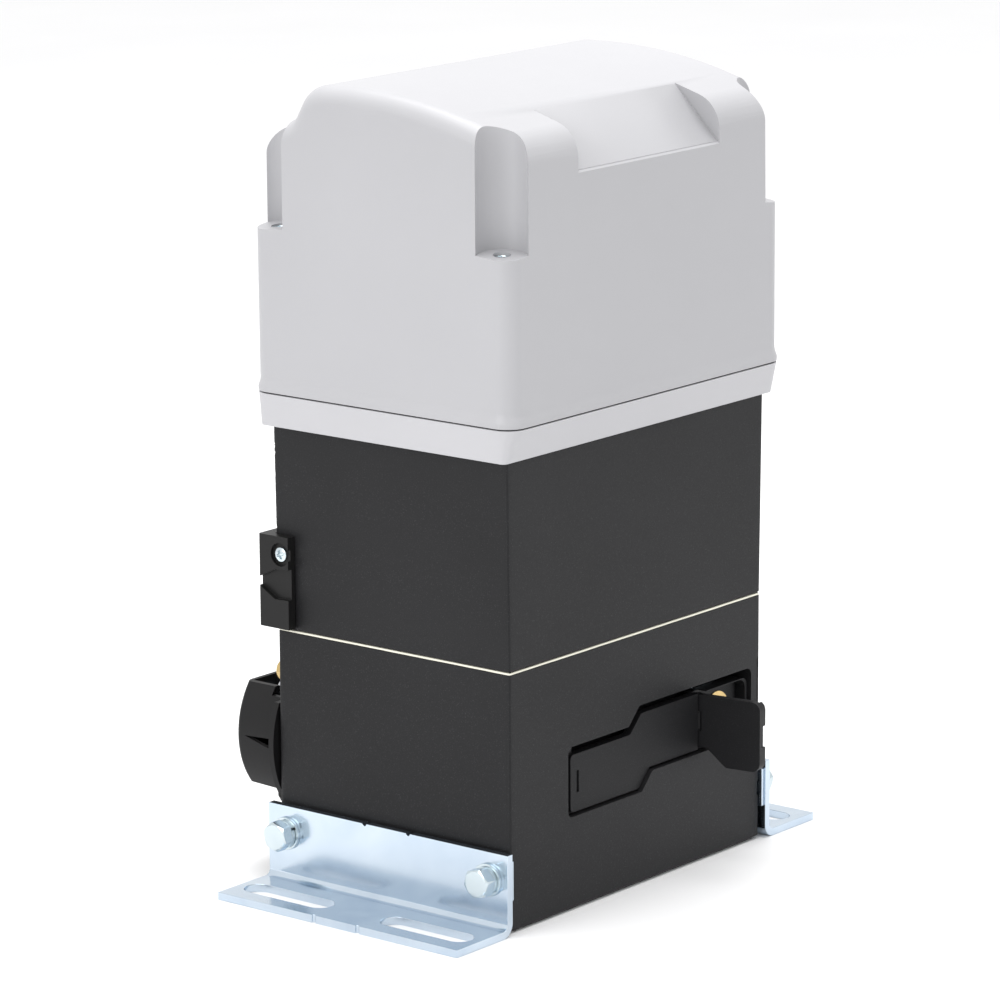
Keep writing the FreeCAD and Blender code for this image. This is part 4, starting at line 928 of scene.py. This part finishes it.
@dataclass(frozen=True, kw_only=True)
class Banded(Finish):
    """Stacked sheet or wound wire: fine bands across one axis over a plain tone."""

    gap: tuple
    bands: float
    span: tuple = (-0.06, 0.06)
    depth: float = 0.4
    step: float = 0.0002

    def lay(self, t: Tree, groups: SharedGroups) -> tuple:
        """Bands as a sine of the height, broken by the grain's tone.

        Args:
            t: the material's filler.
            groups: the shared shader groups.

        Returns:
            Its colour, haze and bump height.
        """
        height = t.add("ShaderNodeSeparateXYZ", {0: t.place()}).outputs["Z"]
        wave = t.math("SINE", t.math("MULTIPLY", height, self.bands * TURN))
        grain = t.use(groups.grain, Scale=900.0, Speckle=1900.0, Broad=30.0)
        tone = t.math("MULTIPLY", grain["Tone"], 0.3)
        band = t.math("ADD", t.spread(wave, -1.0, 1.0, 0.0, 0.8), tone, clamp=True)
        return t.blend(band, self.gap, self.color), grain["Height"], band


FINISHES = {
    "casing": PowderCoat("black coat", (0.012, 0.012, 0.013), 0.46, fleck=(0.075, 0.075, 0.08)),
    "lever": PowderCoat(
        "black lever coat", (0.01, 0.01, 0.011), 0.5,
        fleck=(0.06, 0.06, 0.065), grain=1100.0, wear_and_painted_light=0.22,
    ),
    "gasket_cream": Moulded(
        "cream gasket", (0.74, 0.72, 0.62), 0.6, grain=900.0, depth=0.2, tone=0.06
    ),
    "gasket_black": Moulded("black gasket", (0.02, 0.02, 0.021), 0.7, depth=0.2),
    "tray_grey": Moulded("light grey tray", (0.44, 0.438, 0.455), 0.44, dust=0.1),
    "hood": Moulded("light grey hood", (0.388, 0.387, 0.402), 0.4, depth=0.045, dust=0.12),
    "zinc": Plated(
        "bright zinc sheet", (0.5, 0.59, 0.69), 0.15, warm=(0.6, 0.68, 0.76), reach=0.0004
    ),
    "bolt_zinc": Plated(
        "bright zinc bolt", (0.52, 0.6, 0.64), 0.2, warm=(0.62, 0.69, 0.72), streak=900.0, rim=0.35
    ),
    "black_screw": Machined("blackened screw", (0.05, 0.05, 0.052), 0.38),
    "pin_steel": Machined("ground pin steel", (0.62, 0.62, 0.63), 0.22),
    "brass": Machined("turned brass", (0.6, 0.44, 0.2), 0.24, marks=1100.0),
    "bronze": Machined("machined bronze", (0.62, 0.4, 0.17), 0.3),
    "steel": Machined("machined steel", (0.5, 0.5, 0.52), 0.28),
    "gear_steel": Machined("hobbed gear steel", (0.5, 0.51, 0.53), 0.3, along=(1.0, 0.06, 1.0)),
    "bearing": Machined("bearing steel", (0.66, 0.67, 0.69), 0.18),
    "seal": Moulded("seal rubber", (0.025, 0.025, 0.025), 0.6, depth=0.15),
    "guard": Moulded("black guard plastic", (0.008, 0.0078, 0.0082), 0.5, depth=0.1, shine=0.2),
    "lamination": Banded(
        "stacked laminations", (0.34, 0.35, 0.37), 0.45,
        gap=(0.1, 0.1, 0.11), bands=1000.0, metallic=0.8,
    ),
    "copper": Banded(
        "wound copper", (0.62, 0.24, 0.1), 0.3, gap=(0.2, 0.07, 0.03), bands=900.0, metallic=0.9
    ),
    "cap_alloy": Machined("cast alloy", (0.56, 0.57, 0.58), 0.42, marks=300.0),
    "sensor": Moulded(
        "black sensor plastic", (0.01, 0.0098, 0.0098), 0.42, depth=0.08, shine=0.2
    ),
    "board": Banded("lacquered board", (0.03, 0.2, 0.09), 0.3, gap=(0.02, 0.13, 0.06), bands=40.0),
    "terminal": Moulded("green terminal plastic", (0.06, 0.3, 0.13), 0.4),
    "relay": Moulded("dark relay plastic", (0.05, 0.055, 0.07), 0.35),
    "coil_tape": Banded("coil tape", (0.78, 0.6, 0.16), 0.5, gap=(0.6, 0.44, 0.1), bands=300.0),
    "capacitor": Machined("drawn can", (0.7, 0.71, 0.72), 0.25),
}


class Paint:
    """Gives each material slot its finish, made once."""

    def __init__(self) -> None:
        """Builds the shared groups and starts an empty set."""
        self.groups = SharedGroups()
        self.made: dict[str, Material] = {}

    def of(self, slot: str) -> Material:
        """The material of a slot.

        Args:
            slot: name of the material slot.

        Returns:
            The material, made at the first call.
        """
        if slot not in self.made:
            self.made[slot] = FINISHES[slot].material(self.groups)
        return self.made[slot]

    def dress(self, obj: Piece, slot: str, own: bool = True) -> None:
        """Puts a slot's finish on a piece.

        Args:
            obj: the piece.
            slot: name of the material slot.
            own: whether the piece is a new one; not used.
        """
        obj.data.materials.clear()
        obj.data.materials.append(self.of(slot))


# Sub-assemblies


@dataclass
class SubAssembly:
    """A group of pieces that are built and dressed together."""

    paint: Paint
    slots: dict[str, str]
    done: list[str] = field(default_factory=list)

    def keep(self, obj: Piece, slot: str, *nodes: str) -> None:
        """Dresses a new piece, which stands for the nodes given and rides on their body.

        Args:
            obj: the piece.
            slot: name of its material slot.
            nodes: names of the nodes that it stands for, if they aren't set yet.
        """
        if nodes:
            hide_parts(*nodes)
            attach(obj, frame["nodes"][nodes[0]]["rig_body"])
        self.paint.dress(obj, slot)
        self.done.append(obj.name)
        LOG.info("piece %s, %d faces", obj.name, len(obj.data.polygons))

    def soften(self, nodes: dict[str, float], **how: object) -> None:
        """Rounds the edges of the named nodes by the given widths, as soft_copy is told how."""
        for node, width in nodes.items():
            self.keep(soft_copy(node, width, **how), self.slots[node])


@dataclass
class Housing(SubAssembly):
    """The two black casings and the pale line of gasket between them."""

    half: tuple = (128.5, 92.5)
    corner: float = 1.5
    line: tuple = (162.8, 164.0)
    lower_levels: tuple = (0.0, 162.5)
    lower: tuple = ((128.5, 92.5, 7.0, 0.0), (128.5, 92.5, 7.0, 0.0))
    upper_levels: tuple = (164.3, 165.3, 294.5)
    upper: tuple = ((127.5, 91.5, 6.0, 0.0), (128.5, 92.5, 7.0, 0.0), (130.25, 92.7, 7.0, 0.0))

    def build(self) -> None:
        """Softens the casings, with crisper upright corners, and lays the gasket bead."""
        for node, levels, old in (
            ("lower_casing", self.lower_levels, self.lower),
            ("upper_casing", self.upper_levels, self.upper),
        ):
            new = tuple((w, d, self.corner, y) for w, d, _, y in old)
            self.soften({node: 0.7}, refit=Refit(levels, old, new))
        self.keep(self.bead(), "gasket_cream", "joint_gasket")

    def bead(self) -> Piece:
        """A flat bead carried along a rounded rectangle.

        The path is a rectangle with quarter circles at its corners, and the outer side wavers by
        a tenth of a millimetre as two sines of the distance along it.

        Returns:
            The new piece.
        """
        arc = np.linspace(0.0, math.pi / 2.0, 9)
        x, y = (side - self.corner for side in self.half)
        centres = np.array([(x, y), (-x, y), (-x, -y), (x, -y)])
        turns = arc[None, :] + np.arange(4)[:, None] * math.pi / 2.0
        ring = centres[:, None] + self.corner * np.stack([np.cos(turns), np.sin(turns)], -1)
        ring = ring.reshape(-1, 2)
        closed = np.concatenate([ring, ring[:1]])
        steps = np.linalg.norm(np.diff(closed, axis=0), axis=1)
        run = np.concatenate([[0.0], np.cumsum(steps)])
        along = np.linspace(0.0, run[-1], 720, endpoint=False)
        path = np.stack([np.interp(along, run, closed[:, k]) for k in (0, 1)], -1)
        tangent = np.roll(path, -1, 0) - np.roll(path, 1, 0)
        tangent /= np.linalg.norm(tangent, axis=1, keepdims=True)
        outward = np.stack([tangent[:, 1], -tangent[:, 0]], -1)
        waver = 0.05 * np.sin(along / 11.0) + 0.04 * np.sin(along / 4.3 + 1.0) - 0.1
        inset, height = soft_rectangle((-9.0, 0.0), self.line, 0.3).T[:, None]
        reach = inset + np.where(inset > -1.0, waver[:, None], 0.0)
        flat = path[:, None] + outward[:, None] * reach[..., None]
        level = np.repeat(height[..., None], len(along), 0)
        points = np.concatenate([flat, level], -1) * MM
        return make_piece("joint_bead", [Patch(points, True, True)], 50.0)


@dataclass
class HoodCover(SubAssembly):
    """Light grey hood, the tray under it, its seal, the corner screws and a bare facet plate."""

    screw: ScrewHead = ScrewHead(4.9, 5.0, 0.25, Recess.SOCKET, 4.8, 2.8, 2.5, 20.0)
    screw_x: float = 127.0
    screw_y: float = 87.0
    screw_z: float = 413.5
    plate_half: float = 70.0
    plate_run: tuple = (1.2, 34.2)
    plate_lift: tuple = (-0.2, 0.3)
    facet_low: tuple = (-100.8, 462.5)
    lip_levels: tuple = (316.2, 318.6, 320.2, 322.2, 324.4, 329.2)
    lip_old: tuple = (0.0, 0.24, 0.4, 0.6, 0.82, 1.3)
    lip_new: tuple = (-0.2, -0.4, 0.0, 0.8, 1.2, 1.3)
    rim: tuple = (139.0, 103.0, 13.0, 0.0)
    skirt_levels: tuple = (294.5, 315.2)
    skirt_old: tuple = (135.5, 97.25, 9.0, 4.0)
    skirt_new: tuple = (136.7, 96.8, 3.5, 1.1)

    def build(self) -> None:
        """Softens the shell, with a rolled lip and an even skirt, and adds the fine pieces."""
        w, d, r, y = self.rim
        old, new = (
            tuple((w - inset, d - inset, r - inset, y) for inset in insets)
            for insets in (self.lip_old, self.lip_new)
        )
        self.soften({"hood": 1.4}, segments=3, sharp=40.0, refit=Refit(self.lip_levels, old, new))
        skirt = Refit(self.skirt_levels, (self.skirt_old, self.rim), (self.skirt_new, self.rim))
        self.soften({"support_tray": 0.6}, refit=skirt)
        self.soften({"hood_gasket": 0.0})
        seats = [
            ((x, y, self.screw_z), UP, (1.0, 0.3, 0.0))
            for x in (-self.screw_x, self.screw_x)
            for y in (-self.screw_y, self.screw_y)
        ]
        screws = fasteners("hood_socket_screws", self.screw, seats, 30.0)
        self.keep(screws, "bolt_zinc", "hood_screws")
        plate = self.facet_plate()
        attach(plate, frame["nodes"]["hood"]["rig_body"])
        self.keep(plate, "hood")

    def facet_plate(self) -> Piece:
        """Bare plate on the sloping facet of the brow.

        Its section is a rounded strip along the slope, carried across the hood and closed to a
        line at both ends.

        Returns:
            The new piece.
        """
        run, lift = soft_rectangle(self.plate_run, self.plate_lift, 0.2).T
        x = np.array([-1.0, -1.0, -0.9985, 0.9985, 1.0, 1.0])[:, None] * self.plate_half
        lift = lift * np.array([0.0, 0.6, 1.0, 1.0, 0.6, 0.0])[:, None] * math.sqrt(0.5)
        y = self.facet_low[0] + run - lift
        z = self.facet_low[1] + run + lift
        points = np.stack(np.broadcast_arrays(x, y, z), -1) * MM
        return make_piece("facet_plate", [Patch(points, False, True)], 50.0)


@dataclass
class ReleaseGear(SubAssembly):
    """Lever, flap, lock and the pieces behind them."""

    def build(self) -> None:
        """Softens each moulded or cast piece."""
        cast = {"release_lever": 0.5, "lever_flap": 0.9, "lock_cylinder": 0.25, "flap_pin": 0.2}
        self.soften(cast, segments=3)
        self.soften({"keeper_plate": 0.2})


@dataclass
class FootMount(SubAssembly):
    """Angle brackets with their washers and hexagon bolts."""

    bolt_y: float = 81.0
    bolt_z: float = 34.5
    plate_x: float = 136.0
    washer: PlainWasher = PlainWasher(5.3, 10.5, 2.2)
    spring: SpringWasher = SpringWasher(5.3, 9.0, 2.6)
    bolt: HexHead = HexHead(17.0, 8.0, 5.0, 24.0)

    def build(self) -> None:
        """Softens the brackets and builds the fasteners, each turned a little differently."""
        self.soften({"left_bracket": 0.5, "right_bracket": 0.5, "bracket_pads": 0.4})
        out, spring, first = self.washer.thick, self.spring.thick, math.pi / 2.0 - 0.9
        seats = self.seats(0.0, 0.0, 0.0)
        self.keep(fasteners("plain_washers", self.washer, seats), "bolt_zinc", "flat_washers")
        seats = self.seats(out + spring / 2.0, first, -1.7)
        self.keep(fasteners("split_washers", self.spring, seats), "bolt_zinc", "spring_washers")
        bolts = fasteners("hexagon_bolts", self.bolt, self.seats(out + spring, 0.25, 0.5), 24.0)
        self.keep(bolts, "bolt_zinc", "bracket_bolts")

    def seats(self, out: float, first: float, step: float) -> list[tuple]:
        """Seats of the four fasteners of one kind.

        Args:
            out: how far from the plate they sit.
            first: how far the first one is turned, in radians.
            step: how much further each next one is turned.

        Returns:
            Place, axis and direction across of each one.
        """
        made = []
        for side in (-1.0, 1.0):
            for y in (-self.bolt_y, self.bolt_y):
                turn = first + step * len(made)
                place = (side * (self.plate_x + out), y, self.bolt_z)
                made.append((place, (side, 0.0, 0.0), (0.0, math.sin(turn), math.cos(turn))))
        return made


@dataclass
class OutputGear(SubAssembly):
    """Rack pinion with involute teeth, its fastening and the guard round it."""

    module: float = 4.0
    teeth: int = 15
    pressure: float = 20.0
    dedendum: float = 1.25
    fillet: tuple = ((0.0, 0.045), (0.7, 0.004))
    width: float = 27.0
    bore: float = 15.0
    hub: float = 22.0
    hub_long: float = 4.5
    dish: float = 19.0
    chamfer: float = 1.3
    chamfer_r: float = 31.8
    axle: tuple = (-68.5, 97.5, 93.0)
    bolt: HexHead = HexHead(17.0, 4.4, 5.0, 20.0, 0.3)
    bolt_gap: float = 2.0
    guard_screw: ScrewHead = ScrewHead(4.2, 3.0, 0.2, Recess.SOCKET, 3.2, 1.6, 2.5, 11.0)
    guard_screw_span: float = 12.0

    def build(self) -> None:
        """Builds the pinion and the fasteners, and softens the guard."""
        self.keep(self.pinion(), "gear_steel", "pinion")
        self.soften({"pinion_guard": 0.5, "pinion_key": 0.3, "pinion_washer": 0.4})
        x, y, z = self.axle
        seat = ((x, y + self.width + self.bolt_gap, z), BACKWARD)
        bolt = fasteners("pinion_end_bolt", self.bolt, [seat], 24.0)
        self.keep(bolt, "bolt_zinc", "pinion_bolt")
        _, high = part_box("guard_screws")
        depth = high.y / MM - self.guard_screw.height
        seats = [((x, depth, z), BACKWARD) for x, z in self.screw_places()]
        heads = fasteners("guard_socket_screws", self.guard_screw, seats, 30.0)
        self.keep(heads, "black_screw", "guard_screws")

    def outline(self) -> tuple[Array, Array]:
        """Outline of the teeth.

        Each flank is the involute of the base circle, whose turn at radius r is tan(p) - p with
        cos(p) = base / r, set off from the tooth's middle by half its thickness at the pitch.
        Below the base circle, each row of the fillet is a rise over the root circle and the angle
        by which it widens the foot.

        Returns:
            Radius and angle of each point, once round.
        """
        pitch = self.module * self.teeth / 2.0
        pressure = math.radians(self.pressure)
        base = pitch * math.cos(pressure)
        tip, root = pitch + self.module, pitch - self.dedendum * self.module
        radius = np.linspace(base, tip, 9)
        lean = np.arccos(base / radius)
        at_pitch = math.tan(pressure) - pressure
        half = math.pi / (2.0 * self.teeth) + at_pitch - (np.tan(lean) - lean)
        rise, spread = np.array(self.fillet).T
        flank_r = np.concatenate([root + rise, radius])
        flank_a = np.concatenate([half[0] + spread, half])
        one_r = np.concatenate([flank_r, flank_r[::-1]])
        one_a = np.concatenate([-flank_a, flank_a[::-1]])
        turns = np.arange(self.teeth)[:, None] * TURN / self.teeth + math.pi / 2.0
        return np.tile(one_r, self.teeth), (one_a[None] + turns).reshape(-1)

    def pinion(self) -> Piece:
        """Rows of the outline and of the bore joined in a loop, with chamfered tooth ends.

        Returns:
            The new piece.
        """
        reach, angle = self.outline()
        cut = np.minimum(reach, self.chamfer_r)
        rows = (
            (self.bore, -self.hub_long),
            (self.hub, -self.hub_long),
            (self.hub, 0.0),
            (cut, 0.0),
            (reach, self.chamfer),
            (reach, self.width - self.chamfer),
            (cut, self.width),
            (self.dish, self.width),
            (self.bore, self.width),
        )
        local = np.stack([rings(radius, angle, level) for radius, level in rows])
        points = (local[..., (0, 2, 1)] + np.array(self.axle)) * MM
        return make_piece("rack_pinion", [Patch(points, True, True)], 28.0)

    def screw_places(self) -> list[tuple[float, float]]:
        """Centres of the guard's screws, read from the islands of their node.

        Returns:
            X and Z of each one, in millimetres.
        """
        mesh = frame["nodes"]["guard_screws"].data
        co = np.zeros(len(mesh.vertices) * 3)
        mesh.vertices.foreach_get("co", co)
        left = co.reshape(-1, 3)[:, (0, 2)] / MM
        places: list[tuple[float, float]] = []
        while len(left):
            near = np.linalg.norm(left - left[0], axis=1) < self.guard_screw_span
            group = left[near]
            places.append(tuple((group.min(0) + group.max(0)) / 2.0))
            left = left[~near]
        return places


@dataclass
class SideFittings(SubAssembly):
    """Limit sensor with its screw, and the oil plug."""

    screw: ScrewHead = ScrewHead(4.5, 2.6, 0.9, Recess.CROSS, 5.2, 1.5, 2.1, 12.0)
    screw_place: tuple = (-133.6, 83.6, 213.5)

    def build(self) -> None:
        """Softens the mouldings and builds the cross-head screw."""
        self.soften({"limit_sensor": 0.6}, segments=3)
        self.soften({"oil_plug": 0.3})
        seat = (self.screw_place, (-1.0, 0.0, 0.0), (0.0, 0.35, 1.0))
        screw = fasteners("sensor_cross_screw", self.screw, [seat], 26.0)
        self.keep(screw, "bolt_zinc", "sensor_screw")


@dataclass
class InnerWorks(SubAssembly):
    """Everything that keeps its own solid: gears, motor, electronics and hidden fasteners."""

    # Nodes given the dark screw finish as painted shade: the lever pin, so the pocket's corner
    # shows dark without the pin's glint.
    shade_darkened: tuple = ("lever_pin",)

    def build(self) -> None:
        """Dresses every node, and reports those that no new piece stands for."""
        for name, node in frame["nodes"].items():
            # Painted shade: these nodes take the dark screw finish.
            slot = "black_screw" if name in self.shade_darkened else self.slots[name]
            self.paint.dress(node, slot, own=False)
            if not node.hide_render:
                self.done.append(name)


# Studio


@dataclass
class Studio:
    """Pale floor, soft lights and the camera."""

    azimuth: float = -51.24
    elevation: float = 12.87
    distance: float = 3.16913
    lens: float = 181.4
    roll: float = -0.31
    focus: tuple = (-0.0012, -0.0012, 0.23575)
    shift: float = -0.0138
    floor_half: float = 14.0
    surroundings: float = 1.08
    lamp_target: tuple = (0.0, 0.0, 0.25)
    lamps: tuple = (
        ("top softbox", (0.2, 0.1, 2.2), 1.6, 42.0),
        ("left softbox", (-2.2, 0.2, 1.1), 1.3, 15.0),
        ("right softbox", (1.1, -2.3, 1.0), 1.2, 0.8),
    )

    def build(self) -> None:
        """Sets up everything that isn't part of the object."""
        self.floor()
        self.world()
        self.lights()
        self.camera()
        bpy.context.scene.view_settings.view_transform = "Standard"

    def floor(self) -> None:
        """A wide plane just under the feet."""
        side = np.linspace(-self.floor_half, self.floor_half, 3)
        x, y = np.meshgrid(side, side, indexing="ij")
        obj = make_piece("floor", [Patch(np.stack([x, y, np.zeros_like(x)], -1))])
        material, t, surface = start_material("floor paint")
        tone = t.spread(t.noise(t.place(), 3.0, 3.0), 0.3, 0.7)
        color = t.blend(tone, (0.86, 0.86, 0.865), (0.88, 0.88, 0.885))
        t.tree.links.new(color, surface.inputs["Base Color"])
        surface.inputs["Roughness"].default_value = 0.7
        obj.data.materials.append(material)

    def world(self) -> None:
        """Even white surroundings."""
        world = bpy.data.worlds.new("studio")
        world.use_nodes = True
        background = world.node_tree.nodes["Background"]
        background.inputs[0].default_value = (1.0, 1.0, 1.0, 1.0)
        background.inputs[1].default_value = self.surroundings
        bpy.context.scene.world = world

    def lights(self) -> None:
        """A large softbox above, one to the left and a weaker one to the right."""
        for name, place, size, power in self.lamps:
            data = bpy.data.lights.new(name, "AREA")
            data.size = size
            data.energy = power
            lamp = link(name, data)
            lamp.location = place
            aimed = Vector(self.lamp_target) - Vector(place)
            lamp.rotation_euler = aimed.to_track_quat("-Z", "Y").to_euler()

    def camera(self) -> None:
        """Camera at the photograph's angle."""
        a, e = math.radians(self.azimuth), math.radians(self.elevation)
        right = Vector((math.cos(a), math.sin(a), 0.0))
        back = Vector((math.sin(a) * math.cos(e), -math.cos(a) * math.cos(e), math.sin(e)))
        target = Vector(self.focus) + right * self.shift
        data = bpy.data.cameras.new("camera")
        data.lens = self.lens
        data.sensor_width = 36.0
        data.clip_end = 60.0
        cam = link("camera", data)
        turn = Matrix((right, back.cross(right), back)).transposed()
        turn = turn @ Matrix.Rotation(math.radians(self.roll), 3, "Z")
        cam.matrix_world = Matrix.Translation(target + back * self.distance) @ turn.to_4x4()
        bpy.context.scene.camera = cam


def main() -> None:
    """Builds the object's pieces in order, then the studio."""
    logging.basicConfig(level=logging.INFO, format="%(name)s: %(message)s")
    paint = Paint()
    slots = {entry["node"]: entry["material_slot"] for entry in frame["record"]["subparts"]}
    for kind in (Housing, HoodCover, ReleaseGear, FootMount, OutputGear, SideFittings, InnerWorks):
        part = kind(paint, slots)
        part.build()
        LOG.info("%s: %s", kind.__name__, ", ".join(part.done))
    Studio().build()


if __name__ == "__main__":
    main()
